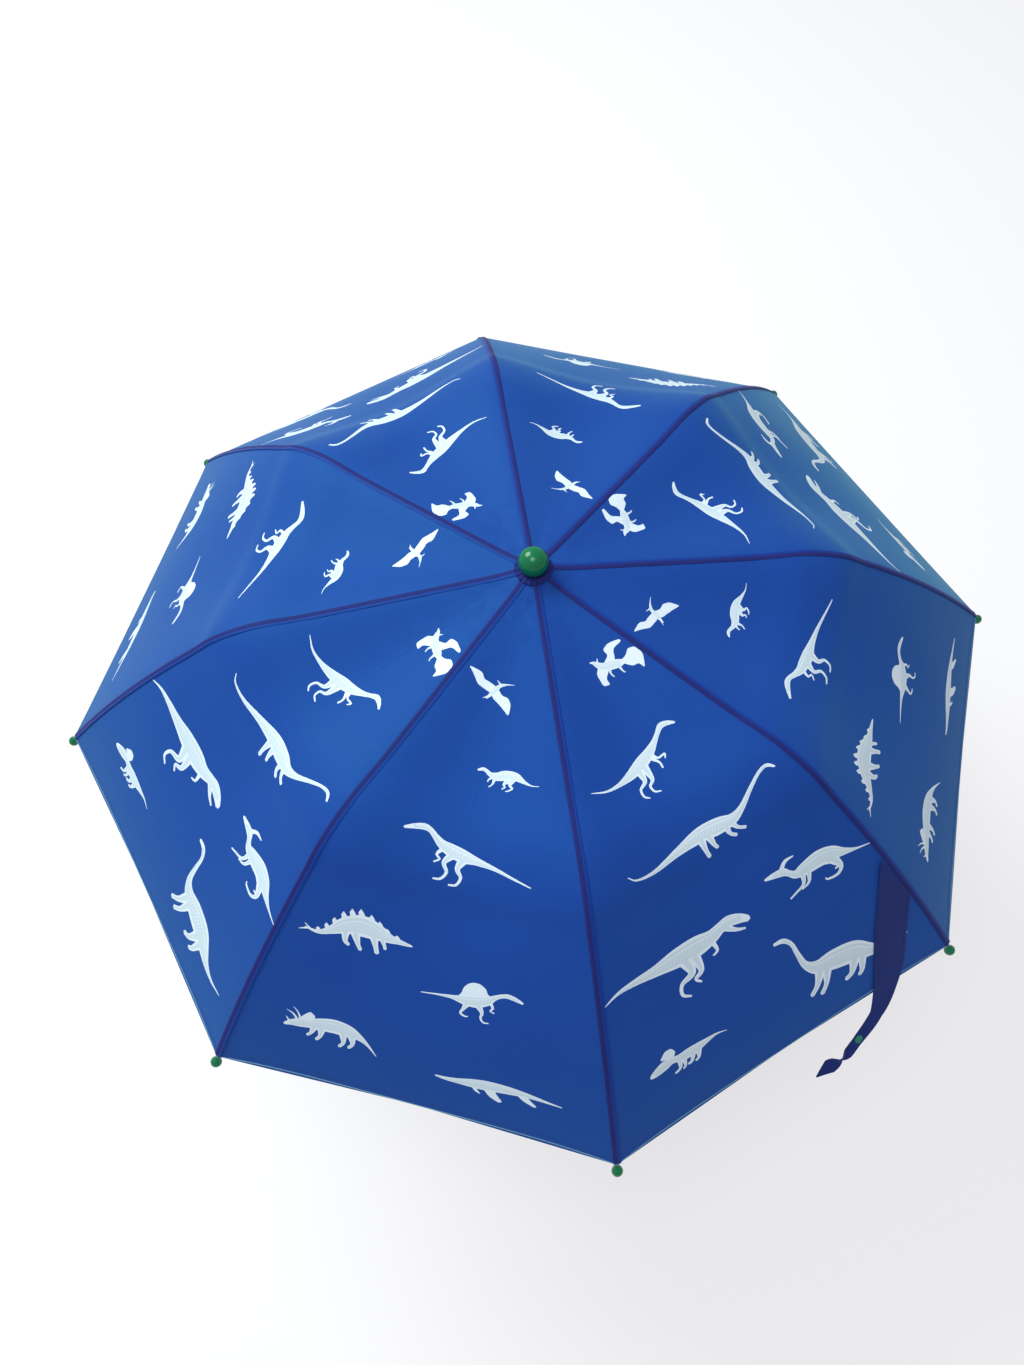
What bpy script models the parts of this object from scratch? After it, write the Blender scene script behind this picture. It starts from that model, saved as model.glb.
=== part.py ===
"""Children's folding umbrella, held upright and open, in metres with +Z up.

The origin is in the handle, where a hand holds it. Each of the eight ribs is built in its own
frame, an empty turned about the shaft, in which X points outwards and Z points up.
"""

import math

import bmesh
import bpy
from mathutils import Matrix, Vector

# Shaft: three tubes that slide into each other, the widest at the top.
CROWN_Z = 0.540
HANDLE_TOP_Z = 0.029
HANDLE_END_Z = -0.035
HANDLE_RADIUS = 0.0135
TUBE_WALL = 0.0007
UPPER_TUBE_RADIUS = 0.0060
MIDDLE_TUBE_RADIUS = 0.0050
LOWER_TUBE_RADIUS = 0.0040
UPPER_TUBE_LENGTH = 0.2015
MIDDLE_TUBE_LENGTH = 0.200
UPPER_TUBE_BOTTOM_Z = CROWN_Z - 0.205
MIDDLE_TUBE_BOTTOM_Z = 0.174
LOWER_TUBE_TOP_Z = 0.214
SOCKET_FLOOR_Z = -0.014
FIT_GAP = 0.0003

# Ribs: slopes are degrees below horizontal in the open umbrella.
RIBS = 8
SECTOR = 2 * math.pi / RIBS
FIRST_RIB_ANGLE = math.radians(90)
CROWN_HINGE_RADIUS = 0.011
RUNNER_HINGE_RADIUS = 0.010
MAIN_LENGTH = 0.145
MIDDLE_LENGTH = 0.125
OUTER_LENGTH = 0.227
MAIN_SLOPE = math.radians(8.0)
MIDDLE_SLOPE = math.radians(10.6)
OUTER_SLOPE_START = math.radians(31.5)
OUTER_SLOPE_END = math.radians(48.0)
MAIN_HALF_WIDTH = 0.0015
MAIN_HALF_HEIGHT = 0.0015
MIDDLE_HALF_WIDTH = 0.0014
MIDDLE_HALF_HEIGHT = 0.0013
CHANNEL_WALL = 0.0006
OUTER_RADIUS = 0.0011
FIRST_PIVOT_LIFT = 0.0018
SECOND_PIVOT_DROP = 0.0016
END_GAP = 0.0004
TONGUE_HALF_WIDTH = 0.0010
TONGUE_BACK = 0.0016
TONGUE_LENGTH = 0.0042

# Stretchers: forks that straddle the main ribs.
STRETCHER_LENGTH = 0.085
ATTACH_DISTANCE = 0.075
ATTACH_DROP = 0.0012
STRETCHER_HALF_WIDTH = 0.0031
STRETCHER_SLOT_HALF_WIDTH = 0.0021
STRETCHER_SLOT_START = 0.014
STRETCHER_HALF_HEIGHT = 0.0011
STRETCHER_OVERRUN = 0.0008

# Canopy: the underside runs this far above the middle of the ribs.
FABRIC_LIFT = 0.0022
# How far the taut cloth stands off the middle rib, at shares of that rib's length.
CANOPY_BRIDGE = ((0.05, 0.0), (0.35, 0.0025), (0.7, 0.0070), (1.0, 0.0015))
FABRIC_THICKNESS = 0.0010
CANOPY_HOLE_RADIUS = 0.0050
CANOPY_APEX_Z = CROWN_Z + 0.0034
CROWN_FLAT_RADIUS = 0.0148
CANOPY_MEETS_RIB = 0.024
GORE_SAG = 0.014
HEM_CURVE = 0.006

# Crown, runner and knob.
NOTCH_SLOT_HALF_WIDTH = 0.0013
NOTCH_HALF_HEIGHT = 0.0030
NOTCH_RADIUS = 0.0130
SPIGOT_RADIUS = 0.0032
RUNNER_RADIUS = 0.0105
RUNNER_FLANGE_RADIUS = 0.0120
RUNNER_LENGTH = 0.038
SLOT_CEILING = 0.0024
BUTTON_ANGLE = math.radians(22.5)
BUTTON_RADIUS = 0.0035
BUTTON_DROP = 0.018
KNOB_RADIUS = 0.01285
KNOB_BASE_Z = CROWN_Z + 0.0063
KNOB_CENTRE_Z = KNOB_BASE_Z + 0.0095

# Cord and strap.
CORD_RADIUS = 0.0022
CORD_ANGLE = math.radians(22.5)
CORD_EXIT_Z = -0.026
CORD_ROUTE = [
    (0.0080, -0.0025, -0.0260),
    (0.0135, -0.0025, -0.0262),
    (0.0190, -0.0032, -0.0295),
    (0.0222, -0.0062, -0.0400),
    (0.0225, -0.0105, -0.0580),
    (0.0220, -0.0150, -0.0800),
    (0.0215, -0.0185, -0.1030),
    (0.0210, -0.0180, -0.1240),
    (0.0205, -0.0110, -0.1390),
    (0.0205, 0.0000, -0.1440),
    (0.0205, 0.0110, -0.1390),
    (0.0210, 0.0180, -0.1240),
    (0.0215, 0.0185, -0.1030),
    (0.0220, 0.0150, -0.0800),
    (0.0225, 0.0105, -0.0580),
    (0.0222, 0.0062, -0.0400),
    (0.0190, 0.0032, -0.0295),
    (0.0135, 0.0025, -0.0262),
    (0.0080, 0.0025, -0.0260),
]

# The strap's middle line over the canopy and past its hem: x, y, z and half its width.
STRAP_ROUTE = [
    (0.2660, -0.2700, 0.4290, 0.0165),
    (0.2634, -0.2881, 0.4124, 0.0165),
    (0.2599, -0.3088, 0.3943, 0.0165),
    (0.2578, -0.3297, 0.3745, 0.0160),
    (0.2540, -0.3470, 0.3600, 0.0130),
    (0.2449, -0.3670, 0.3415, 0.0080),
    (0.2277, -0.3846, 0.3235, 0.0060),
    (0.2156, -0.3950, 0.3135, 0.0060),
    (0.2030, -0.4000, 0.3060, 0.0060),
    (0.1908, -0.4064, 0.2985, 0.0012),
]
STRAP_HALF_THICKNESS = 0.0004
STRAP_LAID_ROWS = 4
STRAP_LAID_ACROSS = (0.965, 0.10, -0.25)
STRAP_FREE_ACROSS = (0.70, -0.70, 0.0)
FASTENER_ROW = 6
FASTENER_SIZE = (0.008, 0.005, 0.0006)
# The strap curves up on both sides of its fastener, so the flat fastener sits a little higher.
FASTENER_LIFT = 0.0011


def clear_scene():
    for obj in list(bpy.data.objects):
        bpy.data.objects.remove(obj, do_unlink=True)


def new_collection(name, hidden=False):
    collection = bpy.data.collections.new(name)
    collection.hide_render = hidden
    bpy.context.scene.collection.children.link(collection)
    return collection


def new_material(name, colour, roughness, metallic=0.0):
    material = bpy.data.materials.new(name)
    material.use_nodes = True
    shader = material.node_tree.nodes["Principled BSDF"]
    shader.inputs["Base Color"].default_value = (*colour, 1.0)
    shader.inputs["Roughness"].default_value = roughness
    shader.inputs["Metallic"].default_value = metallic
    material.diffuse_color = (*colour, 1.0)
    return material


def add_object(name, data, material, parent=None):
    obj = bpy.data.objects.new(name, data)
    if material:
        data.materials.append(material)
    obj.parent = parent
    UMBRELLA.objects.link(obj)
    return obj


def add_cutter(name, mesh, parent=None):
    obj = bpy.data.objects.new(name, mesh)
    obj.parent = parent
    obj.display_type = "WIRE"
    obj.hide_render = True
    CUTTERS.objects.link(obj)
    return obj


def cut(obj, cutter):
    modifier = obj.modifiers.new("cut_" + cutter.name, "BOOLEAN")
    modifier.operation = "DIFFERENCE"
    modifier.solver = "EXACT"
    modifier.object = cutter


def turned(name, profile, steps, material, parent=None):
    """A profile of (radius, height) points, from the top down its outer side, turned about Z."""
    mesh = bpy.data.meshes.new(name)
    points = [(radius, 0.0, height) for radius, height in profile]
    mesh.from_pydata(points, [(i, i + 1) for i in range(len(points) - 1)], [])
    obj = add_object(name, mesh, material, parent)
    screw = obj.modifiers.new("turn", "SCREW")
    screw.steps = steps
    screw.render_steps = steps
    screw.use_merge_vertices = True
    screw.merge_threshold = 0.00001
    return obj


def tube_profile(radius, wall, bottom, top):
    inner = radius - wall
    return [(inner, bottom), (inner, top), (radius, top), (radius, bottom), (inner, bottom)]


def plate_mesh(name, outline, half_thickness):
    """A flat outline in XY, as a mesh that is twice half_thickness high."""
    curve = bpy.data.curves.new(name, "CURVE")
    curve.dimensions = "2D"
    curve.fill_mode = "BOTH"
    curve.extrude = half_thickness
    spline = curve.splines.new("POLY")
    spline.points.add(len(outline) - 1)
    for point, (x, y) in zip(spline.points, outline):
        point.co = (x, y, 0.0, 1.0)
    spline.use_cyclic_u = True
    return curve_to_mesh(name, curve)


def curve_to_mesh(name, curve):
    helper = bpy.data.objects.new(name + "_curve", curve)
    bpy.context.scene.collection.objects.link(helper)
    bpy.context.view_layer.update()
    mesh = bpy.data.meshes.new_from_object(helper.evaluated_get(bpy.context.evaluated_depsgraph_get()))
    bpy.data.objects.remove(helper, do_unlink=True)
    shape = bmesh.new()
    shape.from_mesh(mesh)
    bmesh.ops.remove_doubles(shape, verts=shape.verts, dist=0.000001)
    bmesh.ops.recalc_face_normals(shape, faces=shape.faces)
    shape.to_mesh(mesh)
    shape.free()
    mesh.name = name
    return mesh


def box_mesh(name, low, high):
    low, high = Vector(low), Vector(high)
    shape = bmesh.new()
    bmesh.ops.create_cube(shape, size=1.0)
    size = high - low
    bmesh.ops.scale(shape, vec=size, verts=shape.verts)
    bmesh.ops.translate(shape, vec=(low + high) / 2, verts=shape.verts)
    mesh = bpy.data.meshes.new(name)
    shape.to_mesh(mesh)
    shape.free()
    return mesh


def smooth_route(route, spacing):
    """Points about spacing apart on a smooth curve through the route's points."""
    points = [Vector(p) for p in route]
    ends = [2 * points[0] - points[1], *points, 2 * points[-1] - points[-2]]
    found = []
    for a, b, c, d in zip(ends, ends[1:], ends[2:], ends[3:]):
        count = max(1, round((c - b).length / spacing))
        for i in range(count):
            t = i / count
            bend = (2 * a - 5 * b + 4 * c - d) * t * t + (3 * b - a - 3 * c + d) * t**3
            found.append(b + ((c - a) * t + bend) / 2)
    return found + [points[-1]]


def wire_curve(name, points, radius):
    curve = bpy.data.curves.new(name, "CURVE")
    curve.dimensions = "3D"
    curve.bevel_depth = radius
    curve.bevel_resolution = 2
    curve.use_fill_caps = True
    spline = curve.splines.new("POLY")
    spline.points.add(len(points) - 1)
    for target, point in zip(spline.points, points):
        target.co = (*point, 1.0)
    return curve


def around(point, pivot, angle):
    """A point of a rib's XZ plane, turned downwards by angle about pivot."""
    x, z = point[0] - pivot[0], point[1] - pivot[1]
    cos, sin = math.cos(angle), math.sin(angle)
    return pivot[0] + x * cos + z * sin, pivot[1] - x * sin + z * cos


def along(start, slope, distance, lift=0.0):
    """The point at distance along a line of this slope, and lift above it."""
    return around((start[0] + distance, start[1] + lift), start, slope)


CROWN_HINGE = (CROWN_HINGE_RADIUS, CROWN_Z)
FIRST_JOINT = along(CROWN_HINGE, MAIN_SLOPE, MAIN_LENGTH)
FIRST_PIVOT = along(CROWN_HINGE, MAIN_SLOPE, MAIN_LENGTH, FIRST_PIVOT_LIFT)
SECOND_JOINT = along(FIRST_JOINT, MIDDLE_SLOPE, MIDDLE_LENGTH)
SECOND_PIVOT = along(FIRST_JOINT, MIDDLE_SLOPE, MIDDLE_LENGTH, -SECOND_PIVOT_DROP)
ATTACH = along(CROWN_HINGE, MAIN_SLOPE, ATTACH_DISTANCE, -ATTACH_DROP)
STRETCHER_RISE = math.acos((ATTACH[0] - RUNNER_HINGE_RADIUS) / STRETCHER_LENGTH)
RUNNER_Z = ATTACH[1] - STRETCHER_LENGTH * math.sin(STRETCHER_RISE)


def outer_point(distance):
    """(x, z, slope) at this distance along the outer rib, whose slope grows evenly."""
    turn = OUTER_SLOPE_END - OUTER_SLOPE_START
    slope = OUTER_SLOPE_START + turn * distance / OUTER_LENGTH
    bend_radius = OUTER_LENGTH / turn
    x = SECOND_JOINT[0] + bend_radius * (math.sin(slope) - math.sin(OUTER_SLOPE_START))
    z = SECOND_JOINT[1] + bend_radius * (math.cos(slope) - math.cos(OUTER_SLOPE_START))
    return x, z, slope


def rib_line():
    """(x, z, slope) of the line that the canopy follows over a rib, from where it first meets it."""
    line = []
    for share in (0.0, 0.35, 0.7, 1.0):
        distance = CANOPY_MEETS_RIB + share * (MAIN_LENGTH - CANOPY_MEETS_RIB)
        line.append((*along(CROWN_HINGE, MAIN_SLOPE, distance), MAIN_SLOPE))
    for share, bridge in CANOPY_BRIDGE:
        distance = share * MIDDLE_LENGTH
        line.append((*along(FIRST_JOINT, MIDDLE_SLOPE, distance, bridge), MIDDLE_SLOPE))
    steps = 8
    for i in range(1, steps + 1):
        line.append(outer_point(OUTER_LENGTH * (i / steps) * 0.999))
    return line


def canopy_section(lift):
    """(distance, radius, height) stations of the canopy above a rib, from its hole to its hem."""
    points = [(CANOPY_HOLE_RADIUS, CANOPY_APEX_Z), (CROWN_FLAT_RADIUS, CANOPY_APEX_Z)]
    points = [(x, z + lift) for x, z in points]
    for x, z, slope in rib_line():
        height = FABRIC_LIFT + lift
        points.append((x + height * math.sin(slope), z + height * math.cos(slope)))
    distance = 0.0
    section = []
    for i, point in enumerate(points):
        if i:
            distance += math.dist(point, points[i - 1])
        section.append((distance, *point))
    return section


def canopy_point(section, i, across):
    """(radius, height) of the section's station i, across -1 to 1 from one rib to the next.

    Between the ribs the cloth sags a little, and its hem is a little shorter.
    """
    distance, radius, height = section[i]
    length = section[-1][0]
    short = HEM_CURVE * (1 - across**4) * (distance / length) ** 4
    back = section[max(i - 1, 0)]
    step = distance - back[0]
    pull = min(1.0, short * distance / step) if step else 0.0
    radius += (back[1] - radius) * pull
    height += (back[2] - height) * pull
    sag = GORE_SAG * math.sin(math.pi * distance / length) ** 2
    return radius, height - sag * (1 - across**2) ** 2


def canopy_surface(lift, columns):
    """Rows of points round the canopy, one row for each station."""
    section = canopy_section(lift)
    rows = []
    for i in range(len(section)):
        row = []
        for rib in range(RIBS):
            middle = (rib + 0.5) * SECTOR
            for column in range(columns):
                across = 2 * column / columns - 1
                radius, height = canopy_point(section, i, across)
                x = radius * math.cos(SECTOR / 2)
                y = radius * math.sin(SECTOR / 2) * across
                turn = Matrix.Rotation(middle, 3, "Z")
                row.append(turn @ Vector((x, y, height)))
        rows.append(row)
    return rows


def make_canopy():
    """Two surfaces a fabric thickness apart, joined round the hole and along the hem."""
    columns = 4
    under = canopy_surface(0.0, columns)
    over = canopy_surface(FABRIC_THICKNESS, columns)
    rings = over + under[::-1]
    shape = bmesh.new()
    rows = [[shape.verts.new(point) for point in ring] for ring in rings]
    count = len(rows[0])
    for row, following in zip(rows, rows[1:] + rows[:1]):
        for i in range(count):
            j = (i + 1) % count
            shape.faces.new((row[i], following[i], following[j], row[j]))
    bmesh.ops.triangulate(shape, faces=shape.faces)
    bmesh.ops.recalc_face_normals(shape, faces=shape.faces)
    mesh = bpy.data.meshes.new("canopy")
    shape.to_mesh(mesh)
    shape.free()
    material = new_material("canopy_fabric", (0.035, 0.14, 0.42), 0.6)
    add_object("canopy", mesh, material)


def strap_frame(i):
    """(centre, along, across, out) of the strap at row i of its route."""
    points = [Vector(row[:3]) for row in STRAP_ROUTE]
    along_strap = (points[min(i + 1, len(points) - 1)] - points[max(i - 1, 0)]).normalized()
    share = min(1.0, max(0.0, (i - STRAP_LAID_ROWS) / 2))
    across = Vector(STRAP_LAID_ACROSS).lerp(Vector(STRAP_FREE_ACROSS), share)
    out = along_strap.cross(across).normalized()
    return points[i], along_strap, out.cross(along_strap), out


def make_strap():
    """A ribbon that lies on one gore beside a seam and hangs past the hem."""
    shape = bmesh.new()
    rows = []
    for i, (*_, half_width) in enumerate(STRAP_ROUTE):
        centre, _, across, out = strap_frame(i)
        side, lift = across * half_width, out * STRAP_HALF_THICKNESS
        corners = (centre - side - lift, centre + side - lift, centre + side + lift, centre - side + lift)
        rows.append([shape.verts.new(corner) for corner in corners])
    for row, following in zip(rows, rows[1:]):
        for i in range(4):
            j = (i + 1) % 4
            shape.faces.new((row[i], row[j], following[j], following[i]))
    shape.faces.new(rows[0])
    shape.faces.new(rows[-1])
    bmesh.ops.triangulate(shape, faces=shape.faces)
    bmesh.ops.recalc_face_normals(shape, faces=shape.faces)
    mesh = bpy.data.meshes.new("closing_strap")
    shape.to_mesh(mesh)
    shape.free()
    add_object("closing_strap", mesh, new_material("strap_fabric", (0.012, 0.03, 0.16), 0.7))


def make_strap_fastener():
    centre, along_strap, across, out = strap_frame(FASTENER_ROW)
    high = Vector(FASTENER_SIZE) / 2
    mesh = box_mesh("strap_fastener", -high, high)
    patch = add_object("strap_fastener", mesh, new_material("fastener_plastic", (0.01, 0.25, 0.15), 0.4))
    place = centre + out * (STRAP_HALF_THICKNESS + FASTENER_LIFT + high.z)
    turn = Matrix((along_strap, across, out)).transposed().to_4x4()
    patch.matrix_world = Matrix.Translation(place) @ turn


def make_shaft():
    names = ("shaft_upper_tube", "shaft_middle_tube", "shaft_lower_tube")
    radii = (UPPER_TUBE_RADIUS, MIDDLE_TUBE_RADIUS, LOWER_TUBE_RADIUS)
    spans = (
        (UPPER_TUBE_BOTTOM_Z, UPPER_TUBE_BOTTOM_Z + UPPER_TUBE_LENGTH),
        (MIDDLE_TUBE_BOTTOM_Z, MIDDLE_TUBE_BOTTOM_Z + MIDDLE_TUBE_LENGTH),
        (SOCKET_FLOOR_Z + FIT_GAP, LOWER_TUBE_TOP_Z),
    )
    for name, radius, (bottom, top) in zip(names, radii, spans):
        steel = new_material(name + "_steel", (0.62, 0.63, 0.65), 0.28, 1.0)
        turned(name, tube_profile(radius, TUBE_WALL, bottom, top), 24, steel)


def slot_cutters(name, hinge_radius, low, high):
    """One mesh of eight radial boxes, in which the ribs' tongues turn."""
    shape = bmesh.new()
    inner = hinge_radius - 0.0026
    outer = hinge_radius + 0.0060
    for rib in range(RIBS):
        made = bmesh.ops.create_cube(shape, size=1.0)["verts"]
        size = (outer - inner, 2 * NOTCH_SLOT_HALF_WIDTH, high - low)
        bmesh.ops.scale(shape, vec=size, verts=made)
        bmesh.ops.translate(shape, vec=((inner + outer) / 2, 0, (low + high) / 2), verts=made)
        turn = Matrix.Rotation(rib * SECTOR, 3, "Z")
        bmesh.ops.rotate(shape, cent=(0, 0, 0), matrix=turn, verts=made)
    mesh = bpy.data.meshes.new(name)
    shape.to_mesh(mesh)
    shape.free()
    return add_cutter(name, mesh)


def make_top_notch():
    """The crown that the main ribs hang from, with a spigot through the canopy."""
    low, high = CROWN_Z - NOTCH_HALF_HEIGHT, CROWN_Z + NOTCH_HALF_HEIGHT
    bevel = 0.0006
    profile = [
        (0.0, CROWN_Z + 0.0060),
        (SPIGOT_RADIUS, CROWN_Z + 0.0060),
        (SPIGOT_RADIUS, high),
        (NOTCH_RADIUS - bevel, high),
        (NOTCH_RADIUS, high - bevel),
        (NOTCH_RADIUS, low + bevel),
        (NOTCH_RADIUS - bevel, low),
        (0.0, low),
    ]
    plastic = new_material("top_notch_plastic", (0.02, 0.30, 0.10), 0.4)
    notch = turned("top_notch", profile, 32, plastic)
    cut(notch, slot_cutters("crown_slots", CROWN_HINGE_RADIUS, low - 0.001, CROWN_Z + SLOT_CEILING))


def make_knob():
    angles = [math.radians(a) for a in (90, 70, 50, 30, 10, -10, -30)]
    profile = [
        (KNOB_RADIUS * math.cos(a) if a < 1.57 else 0.0, KNOB_CENTRE_Z + KNOB_RADIUS * math.sin(a))
        for a in angles
    ]
    base_radius = math.sqrt(KNOB_RADIUS**2 - (KNOB_CENTRE_Z - KNOB_BASE_Z) ** 2)
    profile += [(base_radius, KNOB_BASE_Z), (0.0, KNOB_BASE_Z)]
    turned("ferrule_knob", profile, 24, new_material("knob_plastic", (0.01, 0.30, 0.09), 0.2))


def make_collar():
    low, high, inner, outer = CROWN_Z + 0.0048, CROWN_Z + 0.0059, 0.0036, 0.0157
    profile = [(inner, low), (inner, high), (outer, high - 0.0004), (outer, low), (inner, low)]
    turned("canopy_collar", profile, 24, new_material("collar_fabric", (0.012, 0.03, 0.16), 0.75))


def make_runner():
    """The slider that the stretchers hang on, with a hole for its catch button."""
    bore = UPPER_TUBE_RADIUS + 0.0004
    flange_low, flange_high = RUNNER_Z - 0.003, RUNNER_Z + 0.003
    bottom = RUNNER_Z - RUNNER_LENGTH + 0.003
    profile = [
        (bore, bottom),
        (bore, flange_high),
        (RUNNER_FLANGE_RADIUS, flange_high),
        (RUNNER_FLANGE_RADIUS, flange_low),
        (RUNNER_RADIUS, flange_low - 0.001),
        (RUNNER_RADIUS, bottom + 0.007),
        (RUNNER_FLANGE_RADIUS, bottom + 0.003),
        (RUNNER_FLANGE_RADIUS, bottom + 0.001),
        (RUNNER_FLANGE_RADIUS - 0.001, bottom),
        (bore, bottom),
    ]
    plastic = new_material("runner_plastic", (0.02, 0.30, 0.10), 0.4)
    runner = turned("runner", profile, 32, plastic)
    low = RUNNER_Z - SLOT_CEILING
    cut(runner, slot_cutters("runner_slots", RUNNER_HINGE_RADIUS, low, flange_high + 0.001))
    cut(runner, button_cylinder_cutter())


def button_matrix(inner_radius):
    """A frame at the button's inner end, with Z pointing out of the runner."""
    out = Matrix.Rotation(BUTTON_ANGLE, 4, "Z") @ Matrix.Rotation(math.pi / 2, 4, "Y")
    place = Vector((math.cos(BUTTON_ANGLE), math.sin(BUTTON_ANGLE), 0)) * inner_radius
    place.z = RUNNER_Z - BUTTON_DROP
    return Matrix.Translation(place) @ out


def button_cylinder_cutter():
    shape = bmesh.new()
    bmesh.ops.create_cone(
        shape,
        cap_ends=True,
        segments=20,
        radius1=BUTTON_RADIUS + 0.0004,
        radius2=BUTTON_RADIUS + 0.0004,
        depth=0.010,
        matrix=Matrix.Translation((0, 0, 0.005)),
    )
    mesh = bpy.data.meshes.new("button_hole")
    shape.to_mesh(mesh)
    shape.free()
    cutter = add_cutter("button_hole", mesh)
    cutter.matrix_world = button_matrix(0.0072)
    return cutter


def make_button():
    length, radius = 0.0036, BUTTON_RADIUS
    profile = [(0.0, length), (radius * 0.6, length), (radius, length - 0.0008), (radius, 0.0), (0.0, 0.0)]
    plastic = new_material("button_plastic", (0.55, 0.70, 0.02), 0.35)
    button = turned("runner_button", profile, 16, plastic)
    button.matrix_world = button_matrix(0.0092)


def make_handle():
    """A round grip with a domed end, a socket for the lower tube and a hole for the cord."""
    socket = LOWER_TUBE_RADIUS + FIT_GAP
    shoulder, flat = 0.0015, 0.006
    dome = HANDLE_RADIUS - flat
    profile = [
        (0.0, SOCKET_FLOOR_Z),
        (socket, SOCKET_FLOOR_Z),
        (socket, HANDLE_TOP_Z),
        (HANDLE_RADIUS - shoulder - 0.001, HANDLE_TOP_Z),
        (HANDLE_RADIUS - 0.001, HANDLE_TOP_Z - shoulder),
        (HANDLE_RADIUS, HANDLE_TOP_Z - 0.012),
    ]
    for degrees in (0, 22.5, 45, 67.5, 90):
        angle = math.radians(degrees)
        drop = 0.0050 * (1 - math.sin(angle))
        profile.append((flat + dome * math.cos(angle), HANDLE_END_Z + drop))
    profile.append((0.0, HANDLE_END_Z))
    plastic = new_material("handle_plastic", (0.04, 0.38, 0.11), 0.35)
    handle = turned("handle", profile, 32, plastic)
    frame = bpy.data.objects.new("cord_frame", None)
    frame.rotation_euler.z = CORD_ANGLE
    UMBRELLA.objects.link(frame)
    low = (0.0075, -0.0052, CORD_EXIT_Z - 0.0026)
    high = (0.0200, 0.0052, CORD_EXIT_Z + 0.0026)
    cut(handle, add_cutter("cord_hole", box_mesh("cord_hole", low, high), frame))
    points = smooth_route(CORD_ROUTE, 0.0060)
    cord = new_material("cord_textile", (0.52, 0.65, 0.0), 0.7)
    add_object("wrist_cord", wire_curve("wrist_cord", points, CORD_RADIUS), cord, frame)


def rib_frame(rib):
    frame = bpy.data.objects.new(f"rib_frame_{rib}", None)
    frame.rotation_euler.z = FIRST_RIB_ANGLE + (rib - 1) * SECTOR
    UMBRELLA.objects.link(frame)
    return frame


def place_on_rib(obj, pivot, slope):
    obj.location = (pivot[0], 0.0, pivot[1])
    obj.rotation_euler.y = slope


def bar_outline(length, half_width):
    """A bar in plan whose narrow tongue turns in a slot at X 0."""
    tongue = [(TONGUE_LENGTH, TONGUE_HALF_WIDTH), (-TONGUE_BACK, TONGUE_HALF_WIDTH)]
    side = [(length, half_width), (TONGUE_LENGTH, half_width)] + tongue
    return side + [(x, -y) for x, y in reversed(side)]


def make_main_rib(rib, frame):
    length = MAIN_LENGTH - END_GAP
    mesh = plate_mesh("main_rib", bar_outline(length, MAIN_HALF_WIDTH), MAIN_HALF_HEIGHT)
    steel = new_material(f"main_rib_{rib}_steel", (0.60, 0.61, 0.63), 0.3, 1.0)
    obj = add_object(f"main_rib_{rib}", mesh, steel, frame)
    place_on_rib(obj, CROWN_HINGE, MAIN_SLOPE)
    half = MAIN_HALF_WIDTH - CHANNEL_WALL
    low = (0.010, -half, -0.002)
    high = (length - 0.004, half, MAIN_HALF_HEIGHT - CHANNEL_WALL)
    cut(obj, add_cutter(f"main_channel_{rib}", box_mesh("main_channel", low, high), obj))


def make_middle_rib(rib, frame):
    low = (END_GAP, -MIDDLE_HALF_WIDTH, -FIRST_PIVOT_LIFT - MIDDLE_HALF_HEIGHT)
    high = (MIDDLE_LENGTH - END_GAP, MIDDLE_HALF_WIDTH, -FIRST_PIVOT_LIFT + MIDDLE_HALF_HEIGHT)
    steel = new_material(f"middle_rib_{rib}_steel", (0.60, 0.61, 0.63), 0.3, 1.0)
    obj = add_object(f"middle_rib_{rib}", box_mesh("middle_rib", low, high), steel, frame)
    place_on_rib(obj, FIRST_PIVOT, MIDDLE_SLOPE)
    half = MIDDLE_HALF_WIDTH - CHANNEL_WALL
    low = (0.004, -half, low[2] - 0.001)
    high = (MIDDLE_LENGTH - 0.004, half, high[2] - CHANNEL_WALL)
    cut(obj, add_cutter(f"middle_channel_{rib}", box_mesh("middle_channel", low, high), obj))


def make_outer_rib(rib, frame):
    """A wire that bends down more and more; its own X follows its first stretch."""
    start, points = 0.0006, []
    steps = 14
    for i in range(steps + 1):
        x, z, _ = outer_point(start + (OUTER_LENGTH - start) * i / steps)
        x, z = around((x, z), SECOND_PIVOT, -OUTER_SLOPE_START)
        points.append((x - SECOND_PIVOT[0], 0.0, z - SECOND_PIVOT[1]))
    steel = new_material(f"outer_rib_{rib}_steel", (0.60, 0.61, 0.63), 0.3, 1.0)
    obj = add_object(f"outer_rib_{rib}", wire_curve("outer_rib", points, OUTER_RADIUS), steel, frame)
    place_on_rib(obj, SECOND_PIVOT, OUTER_SLOPE_START)


def make_rib_tip(rib, frame):
    """A drop-shaped cap on the end of the outer rib, with the canopy's corner behind it."""
    profile = [
        (0.0, 0.0140),
        (0.0026, 0.0133),
        (0.0043, 0.0115),
        (0.0050, 0.0090),
        (0.0043, 0.0063),
        (0.0027, 0.0042),
        (0.0020, 0.0025),
        (0.0019, FIT_GAP),
        (0.0, FIT_GAP),
    ]
    plastic = new_material(f"rib_tip_{rib}_plastic", (0.01, 0.30, 0.09), 0.3)
    obj = turned(f"rib_tip_{rib}", profile, 12, plastic, frame)
    x, z, slope = outer_point(OUTER_LENGTH)
    place_on_rib(obj, (x, z), slope + math.pi / 2)


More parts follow.
